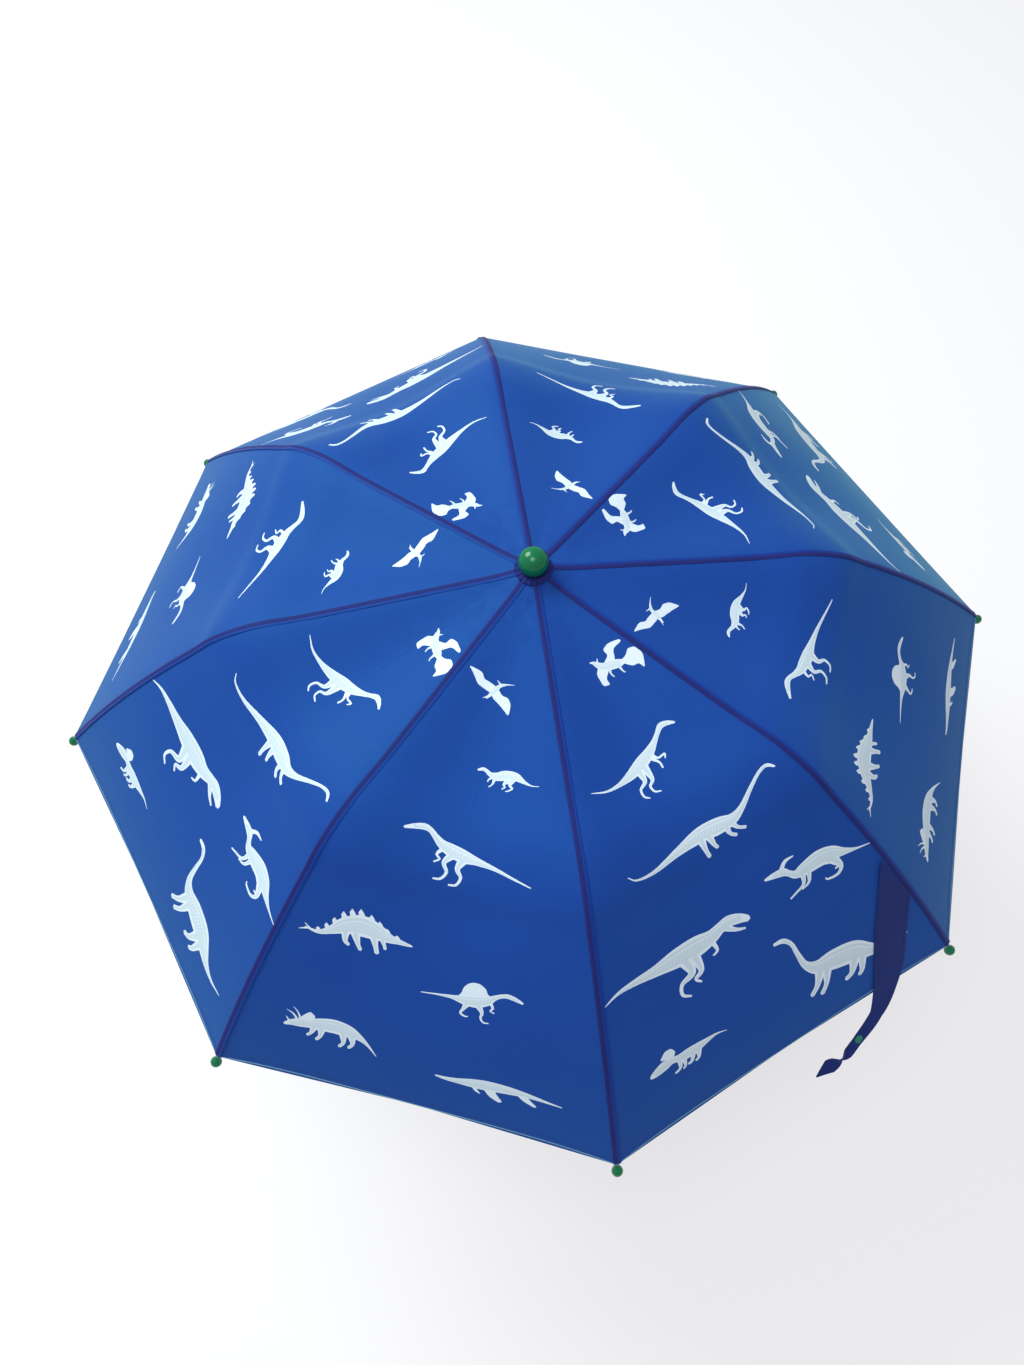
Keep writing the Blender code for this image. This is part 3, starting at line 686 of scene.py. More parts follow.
# Each figure is drawn about 1 long. A body is (x, y, half its thickness) from the tail to the snout,
# a limb is the same from the body outwards, and a fin is a plain outline.
FIGURES = {
    "runner": {
        "body": [(-.50, -.10, .004), (-.36, -.05, .009), (-.22, 0, .015), (-.08, .035, .030),
                 (.03, .055, .052), (.13, .085, .050), (.20, .115, .036), (.255, .16, .024),
                 (.30, .20, .021), (.35, .215, .025), (.42, .20, .020), (.49, .175, .010)],
        "limbs": [[(.02, .04, .040), (.055, -.05, .020), (.02, -.11, .012), (.045, -.175, .010),
                   (.10, -.185, .007)],
                  [(.10, .06, .036), (.16, -.02, .018), (.13, -.09, .012), (.165, -.15, .010),
                   (.22, -.16, .007)],
                  [(.18, .09, .018), (.225, .03, .010), (.195, 0, .008), (.235, -.03, .006)]],
    },
    "plated": {
        "body": [(-.50, .02, .006), (-.38, -.02, .020), (-.26, .01, .042), (-.12, .07, .085),
                 (.03, .085, .110), (.17, .04, .090), (.28, -.01, .052), (.37, -.035, .030),
                 (.46, -.06, .016), (.50, -.07, .006)],
        "limbs": [[(-.12, .03, .045), (-.13, -.08, .024), (-.10, -.125, .016)],
                  [(-.03, 0, .045), (-.01, -.11, .022), (.01, -.165, .018)],
                  [(.14, 0, .045), (.155, -.11, .024), (.165, -.18, .022)],
                  [(.21, 0, .030), (.235, -.08, .018), (.245, -.13, .015)],
                  [(-.45, .0, .010), (-.50, .06, .003)], [(-.48, .01, .010), (-.56, .0, .003)]],
        "plates": 10,
    },
    "sailed": {
        "body": [(-.50, .02, .004), (-.34, .01, .010), (-.20, -.005, .022), (-.08, -.03, .050),
                 (.04, -.04, .066), (.15, -.02, .050), (.22, .02, .028), (.29, .045, .022),
                 (.36, .045, .025), (.44, .01, .020), (.49, -.02, .010)],
        "limbs": [[(-.04, -.05, .040), (-.09, -.13, .018), (-.12, -.18, .012), (-.08, -.215, .009),
                   (-.05, -.215, .006)],
                  [(.05, -.06, .040), (.09, -.16, .018), (.075, -.22, .011), (.10, -.27, .009),
                   (.15, -.275, .006)],
                  [(.17, -.03, .020), (.20, -.10, .011), (.17, -.13, .008), (.21, -.155, .006)]],
        "fins": [[(-.16, -.01), (-.10, .05), (-.075, .12), (-.02, .165), (.03, .175), (.09, .16),
                  (.14, .11), (.155, .05), (.20, .02), (.04, -.05)]],
    },
    "horned": {
        "body": [(-.50, -.20, .004), (-.42, -.10, .014), (-.33, -.02, .034), (-.20, .04, .075),
                 (-.04, .065, .090), (.12, .05, .078), (.24, .03, .055), (.34, .02, .054),
                 (.43, 0, .036), (.50, -.03, .016)],
        "limbs": [[(-.22, 0, .050), (-.24, -.11, .022), (-.20, -.17, .018)],
                  [(-.13, 0, .045), (-.14, -.12, .022), (-.10, -.18, .018)],
                  [(.10, 0, .045), (.11, -.10, .022), (.15, -.155, .018)],
                  [(.18, 0, .040), (.21, -.08, .020), (.25, -.12, .016)],
                  [(.36, .05, .014), (.41, .12, .009), (.48, .16, .002)],
                  [(.33, .07, .012), (.36, .15, .008), (.41, .21, .002)],
                  [(.45, .02, .012), (.485, .07, .003)]],
        "fins": [[(.20, .06), (.17, .14), (.23, .19), (.29, .14), (.36, .06)]],
    },
    "swimmer": {
        "body": [(-.50, -.02, .004), (-.36, 0, .012), (-.22, .02, .024), (-.06, .03, .040),
                 (.10, .03, .048), (.22, .025, .040), (.32, .02, .026), (.42, .02, .016), (.50, .03, .007)],
        "limbs": [[(.20, .01, .020), (.17, -.04, .012), (.14, -.06, .004)]],
        "fins": [[(.13, .01), (.07, -.07), (-.01, -.115), (-.04, -.10), (.01, -.04), (.03, .01)],
                 [(-.14, .01), (-.20, -.045), (-.29, -.085), (-.31, -.075), (-.25, -.02), (-.22, .015)]],
    },
    "glider": {
        "body": [(-.14, -.16, .012), (-.06, -.08, .035), (.02, 0, .050), (.08, .07, .034),
                 (.15, .10, .028), (.24, .11, .012), (.36, .10, .003)],
        "limbs": [[(.12, .10, .018), (.05, .19, .004)], [(-.08, -.10, .016), (-.20, -.16, .005)]],
        "fins": [[(.04, .06), (-.08, .15), (-.18, .20), (-.22, .33), (-.46, .44), (-.38, .30),
                  (-.30, .10), (-.20, .03), (-.06, -.06)],
                 [(.07, .02), (.14, -.10), (.25, -.15), (.30, -.28), (.26, -.50), (.16, -.36),
                  (.06, -.24), (-.02, -.16), (-.05, -.08)]],
    },
    "browser": {
        "body": [(-.50, -.15, .004), (-.38, -.13, .010), (-.26, -.06, .030), (-.12, .04, .070),
                 (.04, .07, .088), (.18, .06, .072), (.29, .10, .040), (.35, .16, .030),
                 (.41, .19, .030), (.49, .175, .016)],
        "limbs": [[(-.08, 0, .055), (-.03, -.10, .024), (-.07, -.16, .015), (0, -.20, .012),
                   (.04, -.20, .008)],
                  [(.0, -.02, .050), (.07, -.08, .020), (.05, -.13, .013), (.10, -.16, .010)],
                  [(.22, .02, .030), (.25, -.07, .014), (.31, -.12, .010)],
                  [(.26, .05, .022), (.32, .0, .012), (.33, -.03, .008)]],
    },
    "stander": {
        "body": [(-.50, -.42, .004), (-.34, -.38, .012), (-.20, -.28, .026), (-.08, -.15, .055),
                 (.02, -.01, .073), (.10, .12, .058), (.15, .24, .034), (.18, .34, .026),
                 (.21, .42, .034), (.28, .45, .026), (.36, .455, .012)],
        "limbs": [[(0, -.10, .050), (.07, -.22, .024), (.03, -.32, .014), (.07, -.40, .012),
                   (.13, -.41, .008)],
                  [(.06, -.06, .050), (.15, -.19, .022), (.13, -.27, .014), (.18, -.33, .011),
                   (.25, -.32, .008)],
                  [(.12, .10, .022), (.20, .06, .013), (.27, .11, .012), (.28, .06, .006)],
                  [(.13, .05, .020), (.22, .01, .012), (.26, -.05, .010)]],
    },
    "long_neck": {
        "body": [(-.52, -.36, .003), (-.45, -.37, .007), (-.33, -.30, .014), (-.18, -.15, .030),
                 (-.03, -.02, .056), (.10, .05, .062), (.20, .10, .042), (.26, .18, .024),
                 (.31, .31, .015), (.36, .42, .012), (.41, .47, .013), (.47, .465, .008)],
        "limbs": [[(-.02, -.04, .036), (.03, -.12, .018), (.07, -.17, .016)],
                  [(.03, -.01, .034), (.09, -.08, .016), (.12, -.10, .014)],
                  [(.15, .06, .030), (.20, .0, .014), (.25, -.01, .013)],
                  [(.19, .08, .026), (.25, .045, .013), (.31, .045, .012)]],
    },
    "crested": {
        "body": [(.50, .22, .003), (.36, .16, .012), (.24, .13, .036), (.12, .11, .072),
                 (0, .06, .082), (-.12, -.03, .066), (-.20, -.08, .040), (-.27, -.07, .028),
                 (-.33, -.06, .038), (-.41, -.09, .030), (-.49, -.13, .012)],
        "limbs": [[(.14, .06, .050), (.24, 0, .024), (.23, -.08, .014), (.14, -.13, .010),
                   (.11, -.12, .006)],
                  [(.08, .05, .045), (.18, .04, .020), (.22, .0, .013), (.19, -.03, .008)],
                  [(-.14, -.06, .030), (-.10, -.17, .016), (-.16, -.26, .010), (-.20, -.31, .008)],
                  [(-.08, -.04, .028), (-.05, -.15, .014), (-.10, -.22, .009)],
                  [(-.35, -.04, .022), (-.33, .04, .017), (-.26, .09, .006)]],
    },
    "hunter": {
        "body": [(-.50, -.33, .003), (-.42, -.24, .012), (-.30, -.16, .026), (-.16, -.08, .045),
                 (-.02, .01, .075), (.12, .10, .082), (.22, .17, .058), (.28, .24, .044),
                 (.34, .29, .046), (.42, .31, .038), (.49, .31, .024)],
        "limbs": [[(.04, 0, .055), (.12, -.10, .030), (.06, -.19, .016), (.08, -.27, .013),
                   (.15, -.28, .008)],
                  [(.12, .02, .045), (.19, -.08, .022), (.16, -.15, .013), (.21, -.17, .008)],
                  [(.24, .13, .020), (.29, .07, .011), (.265, .03, .007)],
                  [(.32, .24, .028), (.41, .225, .015), (.48, .235, .008)]],
    },
    "grazer": {
        "body": [(-.50, .12, .012), (-.44, .145, .018), (-.37, .12, .015), (-.30, .04, .018),
                 (-.22, -.04, .028), (-.12, -.06, .055), (0, -.01, .082), (.14, .04, .086),
                 (.26, .05, .058), (.36, .06, .030), (.46, .10, .012), (.55, .18, .003)],
        "limbs": [[(-.09, -.09, .042), (-.08, -.20, .022), (-.10, -.28, .018)],
                  [(-.04, -.08, .042), (-.01, -.19, .020), (-.02, -.27, .018)],
                  [(.17, -.01, .045), (.18, -.12, .022), (.15, -.17, .018)],
                  [(.23, 0, .035), (.26, -.10, .020), (.25, -.14, .015)]],
    },
    "frilled": {
        "body": [(.50, .30, .003), (.36, .26, .014), (.24, .18, .036), (.12, .09, .064),
                 (0, .01, .074), (-.12, -.05, .056), (-.22, -.08, .050), (-.32, -.15, .072),
                 (-.42, -.25, .052), (-.47, -.30, .026)],
        "limbs": [[(.14, .04, .045), (.17, -.06, .022), (.14, -.11, .018)],
                  [(.07, 0, .040), (.08, -.11, .022), (.04, -.15, .018)],
                  [(-.10, -.10, .038), (-.07, -.20, .020), (-.12, -.27, .016)],
                  [(-.04, -.08, .034), (.0, -.17, .018), (-.02, -.21, .015)]],
        "fins": [[(-.21, -.04), (-.20, .05), (-.28, .10), (-.36, .06), (-.40, -.08)]],
    },
    "flapper": {
        "body": [(.16, .10, .020), (.04, .06, .070), (-.12, .02, .090), (-.26, -.01, .070),
                 (-.36, .02, .050), (-.43, .05, .030), (-.50, .05, .006)],
        "limbs": [[(-.36, .04, .022), (-.37, .14, .004)],
                  [(-.14, -.03, .030), (-.10, -.14, .014), (-.04, -.19, .010)],
                  [(.02, .02, .030), (.10, -.08, .014), (.15, -.11, .010)]],
        "fins": [[(-.24, .06), (-.18, .20), (-.28, .30), (-.20, .42), (0, .50), (.04, .46),
                  (-.10, .32), (-.04, .10)],
                 [(.04, .08), (.14, .20), (.16, .32), (.28, .36), (.44, .24), (.50, -.04),
                  (.38, .05), (.28, .0), (.14, .04)],
                 [(-.34, -.03), (-.36, -.16), (-.22, -.38), (-.10, -.34), (-.18, -.24), (-.14, -.05)]],
    },
}

# A pattern's rows: figure, distance from the hole, distance across, length, turn in degrees, facing.
PATTERNS = {
    "first": [
        ("glider", 0.112, -0.006, 0.046, 12, 1),
        ("browser", 0.186, 0.023, 0.050, 12, -1),
        ("runner", 0.264, 0.007, 0.108, 2, -1),
        ("plated", 0.349, -0.066, 0.087, 10, 1),
        ("sailed", 0.381, 0.033, 0.084, 11, 1),
        ("horned", 0.450, -0.077, 0.080, 2, -1),
        ("swimmer", 0.467, 0.068, 0.106, 4, -1),
    ],
    "second": [
        ("flapper", 0.110, 0.017, 0.047, -33, 1),
        ("stander", 0.192, -0.009, 0.076, -33, 1),
        ("long_neck", 0.272, 0.006, 0.116, -33, 1),
        ("crested", 0.355, 0.081, 0.094, -33, 1),
        ("hunter", 0.362, -0.058, 0.117, -33, 1),
        ("grazer", 0.448, 0.066, 0.128, -33, 1),
        ("frilled", 0.449, -0.083, 0.065, -33, 1),
    ],
}


def stroke(points, spacing=0.012, share=1.0):
    """The outline of a brush stroke whose half width changes along its middle line."""
    line = smooth_route(points, spacing)
    left, right = [], []
    for i, point in enumerate(line):
        ahead = line[min(i + 1, len(line) - 1)] - line[max(i - 1, 0)]
        side = Vector((-ahead.y, ahead.x)).normalized() * max(point.z, 0.002) * share
        left.append(Vector((point.x, point.y)) + side)
        right.append(Vector((point.x, point.y)) - side)
    nose = line[-1] + (line[-1] - line[-2]).normalized() * line[-1].z * 0.7 * share
    tail = line[0] + (line[0] - line[1]).normalized() * line[0].z * 0.7 * share
    return right + [Vector((nose.x, nose.y))] + left[::-1] + [Vector((tail.x, tail.y))]


def rounded_outline(points):
    """A plain outline with its corners eased."""
    count = len(points)
    eased = []
    for i in range(count):
        a, b, c = (Vector(points[(i + k) % count]) for k in (-1, 0, 1))
        eased += [b.lerp(a, 0.22), b * 0.86 + (a + c) * 0.07, b.lerp(c, 0.22)]
    return eased


def plate_outlines(body, count):
    """A row of pointed plates that stand on a body's back."""
    line = smooth_route(body, 0.012)
    first, last = int(len(line) * 0.14), int(len(line) * 0.86)
    outlines = []
    for i in range(count):
        at = line[first + (last - first) * i // (count - 1)]
        high = 0.028 + 0.045 * math.sin(math.pi * (i + 0.5) / count)
        top = at.y + at.z * 0.94
        wide = 0.024 + 0.008 * math.sin(math.pi * i / count)
        lean = -0.012
        outlines.append(
            [
                Vector((at.x - wide, top - 0.02)),
                Vector((at.x + wide, top - 0.02)),
                Vector((at.x + wide * 0.7 + lean, top + high * 0.55)),
                Vector((at.x + lean, top + high)),
                Vector((at.x - wide * 0.8 + lean, top + high * 0.5)),
            ]
        )
    return outlines


def bone_outlines(body):
    """Thin slanting ribs over the thick stretch of a body, and the line of its back."""
    line = smooth_route(body, 0.012)
    thick = [i for i, point in enumerate(line) if point.z > 0.030]
    outlines = []
    facing = 1 if line[-1].x > line[0].x else -1
    for i in thick[1:-1:2]:
        point = line[i]
        ahead = (line[i + 1] - line[i - 1]).to_2d().normalized()
        across = Vector((-ahead.y, ahead.x)) * facing
        top = point.to_2d() + across * point.z * 0.50
        low = point.to_2d() - across * point.z * 0.50 - ahead * 0.018
        half = ahead * 0.0030
        outlines.append([top - half, top + half, low + half * 0.4, low - half * 0.4])
    ridge = []
    inner = range(int(len(line) * 0.10), int(len(line) * 0.93))
    for i in inner:
        ahead = (line[min(i + 1, len(line) - 1)] - line[i - 1]).to_2d().normalized()
        across = Vector((-ahead.y, ahead.x)) * facing
        place = line[i].to_2d() + across * line[i].z * 0.38
        ridge.append((place.x, place.y, min(0.0045, line[i].z * 0.25)))
    outlines.append(stroke(ridge, 1.0))
    return outlines


def figure_outlines(figure):
    """(white outlines, grey outlines, white outlines over the grey) of one figure."""
    body = figure["body"]
    white = [stroke(body)] + [stroke(limb, 0.02) for limb in figure["limbs"]]
    white += [rounded_outline(fin) for fin in figure.get("fins", ())]
    white += plate_outlines(body, figure["plates"]) if "plates" in figure else []
    grey = [stroke(body[1:-1], 0.012, 0.70)]
    grey += [stroke(limb[:3], 0.02, 0.45) for limb in figure["limbs"] if limb[0][2] > 0.025]
    return white, grey, bone_outlines(body)


CLOTH_CLASS, WHITE_CLASS, GREY_CLASS, UNDERSIDE_CLASS = 0, 1, 2, 3
GRID = 0.0075
PRINT_MARGIN = 0.0015


def gore_outline():
    """The flat gore's outline, turning to the left all the way round."""
    steps = 64
    far = [CLOTH_LENGTH * i / steps for i in range(steps + 1)]
    left = [Vector((s, -half_width(s))) for s in far]
    right = [Vector((s, half_width(s))) for s in reversed(far)]
    return left + right


def within(point, outline, box):
    """Whether the outline winds round the point."""
    if not (box[0] < point.x < box[2] and box[1] < point.y < box[3]):
        return False
    turns = 0
    for a, b in zip(outline, outline[1:] + outline[:1]):
        if (a.y <= point.y) != (b.y <= point.y):
            if (b - a).cross(point - a) * (b.y - a.y) > 0:
                turns += 1 if b.y > a.y else -1
    return turns != 0


def flat_gore(pattern):
    """(points, triangles, classes, zones) of a flat gore, cut along its figures and rib joints."""
    points = gore_outline()
    edges, shapes = [], []
    faces = [list(range(len(points)))]

    def add_shape(outline, kind):
        first, count = len(points), len(outline)
        points.extend(outline)
        edges.extend((first + i, first + (i + 1) % count) for i in range(count))
        xs, ys = [p.x for p in outline], [p.y for p in outline]
        shapes.append((kind, outline, (min(xs), min(ys), max(xs), max(ys))))

    def add_line(a, b, count):
        first = len(points)
        points.extend(a.lerp(b, i / count) for i in range(count + 1))
        edges.extend((first + i, first + i + 1) for i in range(count))

    for distance in ZONE_ENDS:
        half = half_width(distance)
        add_line(Vector((distance, -half)), Vector((distance, half)), max(2, round(half / GRID)) * 2)
    add_line(Vector((0.0, 0.0)), Vector((CLOTH_LENGTH, 0.0)), round(CLOTH_LENGTH / GRID))
    for name, distance, across, length, turn, facing in PATTERNS[pattern]:
        cos, sin = math.cos(math.radians(turn)), math.sin(math.radians(turn))
        groups = zip(("white", "grey", "bone"), figure_outlines(FIGURES[name]))
        for kind, outlines in groups:
            for outline in outlines:
                placed = []
                for point in outline:
                    x, y = point.x * length * facing, point.y * length
                    right, up = x * cos - y * sin, x * sin + y * cos
                    at = distance - up
                    side = across + right
                    limit = half_width(clamped(at, 0.0, CLOTH_LENGTH)) - PRINT_MARGIN
                    placed.append(Vector((at, max(-limit, min(limit, side)))))
                add_shape(placed, kind)
    row = 0
    distance = GRID
    while distance < CLOTH_LENGTH - 0.4 * GRID:
        half = half_width(distance)
        shift = 0.5 * GRID if row % 2 else 0.0
        count = int(half / GRID)
        for i in range(-count, count + 1):
            side = i * GRID + shift
            if abs(side) < half - 0.35 * GRID and abs(side) > 0.2 * GRID:
                points.append(Vector((distance, side)))
        distance += GRID * 0.87
        row += 1
    coords, _, triangles, _, _, origins = delaunay_2d_cdt(points, edges, faces, 0, 1e-6, True)
    found, classes, zones = [], [], []
    for triangle, origin in zip(triangles, origins):
        if not origin:
            continue
        centre = sum((coords[i] for i in triangle), Vector((0.0, 0.0))) / 3
        zone = sum(centre.x > end for end in ZONE_ENDS)
        found.append(triangle)
        zones.append((zone, "left" if centre.y < 0 else "right"))
        held = {kind for kind, outline, box in shapes if within(centre, outline, box)}
        if "bone" in held or ("white" in held and "grey" not in held):
            classes.append(WHITE_CLASS)
        else:
            classes.append(GREY_CLASS if "grey" in held else CLOTH_CLASS)
    return coords, found, classes, zones


def panel_mesh(name, chosen, triangles, classes, places, normals, flat):
    """One panel as a closed sheet, with its own normals and a UV map in metres."""
    used = sorted({i for t in chosen for i in triangles[t]})
    index = {old: new for new, old in enumerate(used)}
    count = len(used)
    half = FABRIC_THICKNESS / 2
    points = [places[i] + normals[i] * half for i in used]
    points += [places[i] - normals[i] * half for i in used]
    faces, materials, corner_normals = [], [], []
    edges = {}
    for t in chosen:
        a, b, c = (index[i] for i in triangles[t])
        faces.append((a, b, c))
        materials.append(classes[t])
        corner_normals += [normals[used[i]] for i in (a, b, c)]
        for edge in ((a, b), (b, c), (c, a)):
            edges[edge] = t
    for t in chosen:
        a, b, c = (index[i] + count for i in triangles[t])
        faces.append((c, b, a))
        materials.append(UNDERSIDE_CLASS)
        corner_normals += [-normals[used[i - count]] for i in (c, b, a)]
    for a, b in edges:
        if (b, a) in edges:
            continue
        faces.append((b, a, a + count, b + count))
        materials.append(CLOTH_CLASS)
        side = (points[b] - points[a]).cross(normals[used[a]]).normalized()
        corner_normals += [side] * 4
    mesh = bpy.data.meshes.new(name)
    mesh.from_pydata(points, [], faces)
    for material in (BLUE_CLOTH, PRINT_WHITE, PRINT_GREY, BLUE_UNDERSIDE):
        mesh.materials.append(material)
    mesh.polygons.foreach_set("material_index", materials)
    mesh.polygons.foreach_set("use_smooth", [True] * len(faces))
    uv = mesh.uv_layers.new(name="cloth").uv
    for loop in mesh.loops:
        place = flat[used[loop.vertex_index % count]]
        uv[loop.index].vector = (place.y, place.x)
    mesh.normals_split_custom_set(corner_normals)
    return mesh


def squash_axis(rib, body, side):
    """(axis, anchor) for the cloth beside a rib: the axis runs towards the rib along the cloth itself."""
    x, z, slope = {
        "main": (*CROWN_HINGE, MAIN_SLOPE),
        "middle": (*FIRST_JOINT, MIDDLE_SLOPE),
        "outer": outer_point(OUTER_LENGTH / 2),
    }[body]
    tilt = -math.atan(math.tan(HALF_SECTOR) * math.sin(slope)) * side
    beside = Vector((0, 1, 0)) * math.cos(tilt)
    above = Vector((math.sin(slope), 0, math.cos(slope))) * math.sin(tilt)
    anchor = Vector((x + FABRIC_LIFT * math.sin(slope), 0, z + FABRIC_LIFT * math.cos(slope)))
    turn = rib_turn(rib).to_3x3()
    return turn @ (beside + above), turn @ anchor


def gather(obj, rib, body, side):
    """Makes a piece of cloth ride on a rib."""
    axis, anchor = squash_axis(rib, body, side)
    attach(obj, f"{body}_{rib}")
    tuple(axis)
    tuple(anchor)
    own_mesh(obj)


ZONE_BODIES = ("main", "middle", "outer")


def zone_cut(zone):
    """(widest, length, flat area) of one half of a gore between two rib joints."""
    ends = (0.0, *ZONE_ENDS, CLOTH_LENGTH)
    start, end = ends[zone], ends[zone + 1]
    steps = 40
    widths = [half_width(start + (end - start) * (i + 0.5) / steps) for i in range(steps)]
    return half_width(end), end - start, sum(widths) * (end - start) / steps


def make_canopy():
    """Sixteen half gores, each in three panels that end at the rib joints."""
    step = 0.0005
    for pattern, start in (("first", 2), ("second", 1)):
        flat, triangles, classes, zones = flat_gore(pattern)
        flat = [Vector((clamped(p.x, 0.0, CLOTH_LENGTH), p.y)) for p in flat]
        a, b, c = (flat[i] for i in triangles[0])
        if (b - a).cross(c - a) < 0:
            triangles = [t[::-1] for t in triangles]
        back = [Vector((p.x - step if p.x > step else p.x + step, p.y)) for p in flat]
        side = [Vector((p.x, p.y - step if p.y > 0 else p.y + step)) for p in flat]
        for rib in range(start, RIBS + 1, 2):
            turn = rib_angle(rib) + HALF_SECTOR
            places = bent(flat, turn, rib)
            lengthwise = bent(back, turn, rib)
            sideways = bent(side, turn, rib)
            normals = []
            for p, a, b, at in zip(places, lengthwise, sideways, flat):
                forward = (p - a) if at.x > step else (a - p)
                across = (p - b) if at.y > 0 else (b - p)
                normals.append(forward.cross(across).normalized())
            for zone, body in enumerate(ZONE_BODIES):
                for half, owner, sign in (("left", rib, 1), ("right", rib % RIBS + 1, -1)):
                    chosen = [t for t, z in enumerate(zones) if z == (zone, half)]
                    name = f"canopy_{body}_{owner}_{'after' if sign > 0 else 'before'}"
                    mesh = panel_mesh(name, chosen, triangles, classes, places, normals, flat)
                    obj = link_object(name, mesh)
                    gather(obj, owner, body, sign)
                    wide, long, area = zone_cut(zone)
                    if name == "canopy_main_1_after":
                        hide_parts("canopy")


make_canopy()


# ---------------------------------------------------------------- lines that follow the cloth


def upright_path(graph, path):
    return graph.node("GeometryNodeSetCurveNormal", {"mode": "Z_UP"}, {"Curve": path})


def ridge_tree():
    """A low round ridge along a path."""
    inputs = [("Path", "Geometry"), ("Width", "Float"), ("Height", "Float"), ("Material", "Material")]
    tree, graph, value = new_tree("ridge", *inputs)
    circle = graph.node("GeometryNodeCurvePrimitiveCircle", None, {"Resolution": 10, "Radius": 0.5})
    size = graph.together(value("Width"), value("Height"), 1.0)
    profile = graph.node("GeometryNodeTransform", None, {"Geometry": circle, "Scale": size})
    swept = graph.swept(upright_path(graph, value("Path")), profile)
    graph.node("NodeGroupOutput", None, {"Result": end_tree(graph, swept, value("Material"))})
    return tree


def stitch_tree():
    """A row of thread stitches along a path."""
    inputs = [("Path", "Geometry"), ("Pitch", "Float"), ("Length", "Float"), ("Thread", "Float")]
    tree, graph, value = new_tree("stitch_row", *inputs, ("Material", "Material"))
    values = {"Curve": upright_path(graph, value("Path")), "Length": value("Pitch")}
    points = graph.node("GeometryNodeCurveToPoints", {"mode": "LENGTH"}, values)
    ball = graph.node("GeometryNodeMeshUVSphere", None, {"Segments": 6, "Rings": 4, "Radius": 0.5})
    size = graph.together(value("Thread"), value("Thread"), value("Length"))
    stitch = graph.node("GeometryNodeTransform", None, {"Geometry": ball, "Scale": size})
    values = {"Points": points, "Instance": stitch, "Rotation": points.output("Rotation")}
    row = graph.node("GeometryNodeInstanceOnPoints", None, values)
    graph.node("NodeGroupOutput", None, {"Result": end_tree(graph, row, value("Material"))})
    return tree


BRAID_STEP = 0.0011
BRAID_CORE_RADIUS = 0.0012


def braid_tree():
    """A round braid along a path: strands wind both ways and pass over and under each other."""
    inputs = [("Path", "Geometry"), ("Strands", "Int"), ("Lay", "Float"), ("Radius", "Float")]
    inputs += [("Strand Width", "Float"), ("Material", "Material"), ("Fleck", "Material")]
    tree, graph, value = new_tree("braid", *inputs)
    values = {"Curve": value("Path"), "Length": BRAID_STEP}
    line = graph.node("GeometryNodeResampleCurve", {"mode": "LENGTH"}, values)
    made = []
    for way in (1.0, -1.0):
        values = {"Geometry": line, "Amount": value("Strands")}
        copies = graph.node("GeometryNodeDuplicateElements", {"domain": "SPLINE"}, values)
        number = copies.output("Duplicate Index")
        distance = graph.node("GeometryNodeSplineParameter", output="Length")
        start = number * (2 * math.pi) / value("Strands")
        wind = distance / value("Lay") * (2 * math.pi)
        angle = start + wind * way
        weave = (wind * value("Strands")).sum("COSINE") * value("Strand Width") * (0.30 * way)
        out = value("Radius") - value("Strand Width") * 0.62 + weave
        normal = graph.node("GeometryNodeInputNormal")
        tangent = graph.node("GeometryNodeInputTangent")
        side = graph.vector("CROSS_PRODUCT", tangent, normal)
        across = graph.scaled(normal, angle.sum("COSINE") * out)
        offset = graph.vector("ADD", across, graph.scaled(side, angle.sum("SINE") * out))
        moved = graph.node("GeometryNodeSetPosition", None, {"Geometry": copies, "Offset": offset})
        values = {"Resolution": 6, "Radius": value("Strand Width") * 0.5}
        profile = graph.node("GeometryNodeCurvePrimitiveCircle", None, values)
        settings = {"data_type": "INT", "operation": "EQUAL"}
        fleck = graph.node("FunctionNodeCompare", settings, {2: number, 3: 0})
        settings = {"data_type": "BOOLEAN", "domain": "CURVE"}
        values = {"Geometry": moved, "Name": "fleck", "Value": fleck}
        marked = graph.node("GeometryNodeStoreNamedAttribute", settings, values)
        made.append(graph.swept(marked, profile))
    values = {"Resolution": 10, "Radius": BRAID_CORE_RADIUS}
    made.append(graph.swept(line, graph.node("GeometryNodeCurvePrimitiveCircle", None, values)))
    join = graph.node("GeometryNodeJoinGeometry")
    for part in reversed(made):
        tree.links.new(part.socket, join.socket.node.inputs[0])
    dressed = end_tree(graph, join, value("Material"))
    settings = {"data_type": "BOOLEAN"}
    chosen = graph.node("GeometryNodeInputNamedAttribute", settings, {"Name": "fleck"})
    values = {"Geometry": dressed, "Selection": chosen, "Material": value("Fleck")}
    flecked = graph.node("GeometryNodeSetMaterial", None, values)
    graph.node("NodeGroupOutput", None, {"Result": flecked})
    return tree


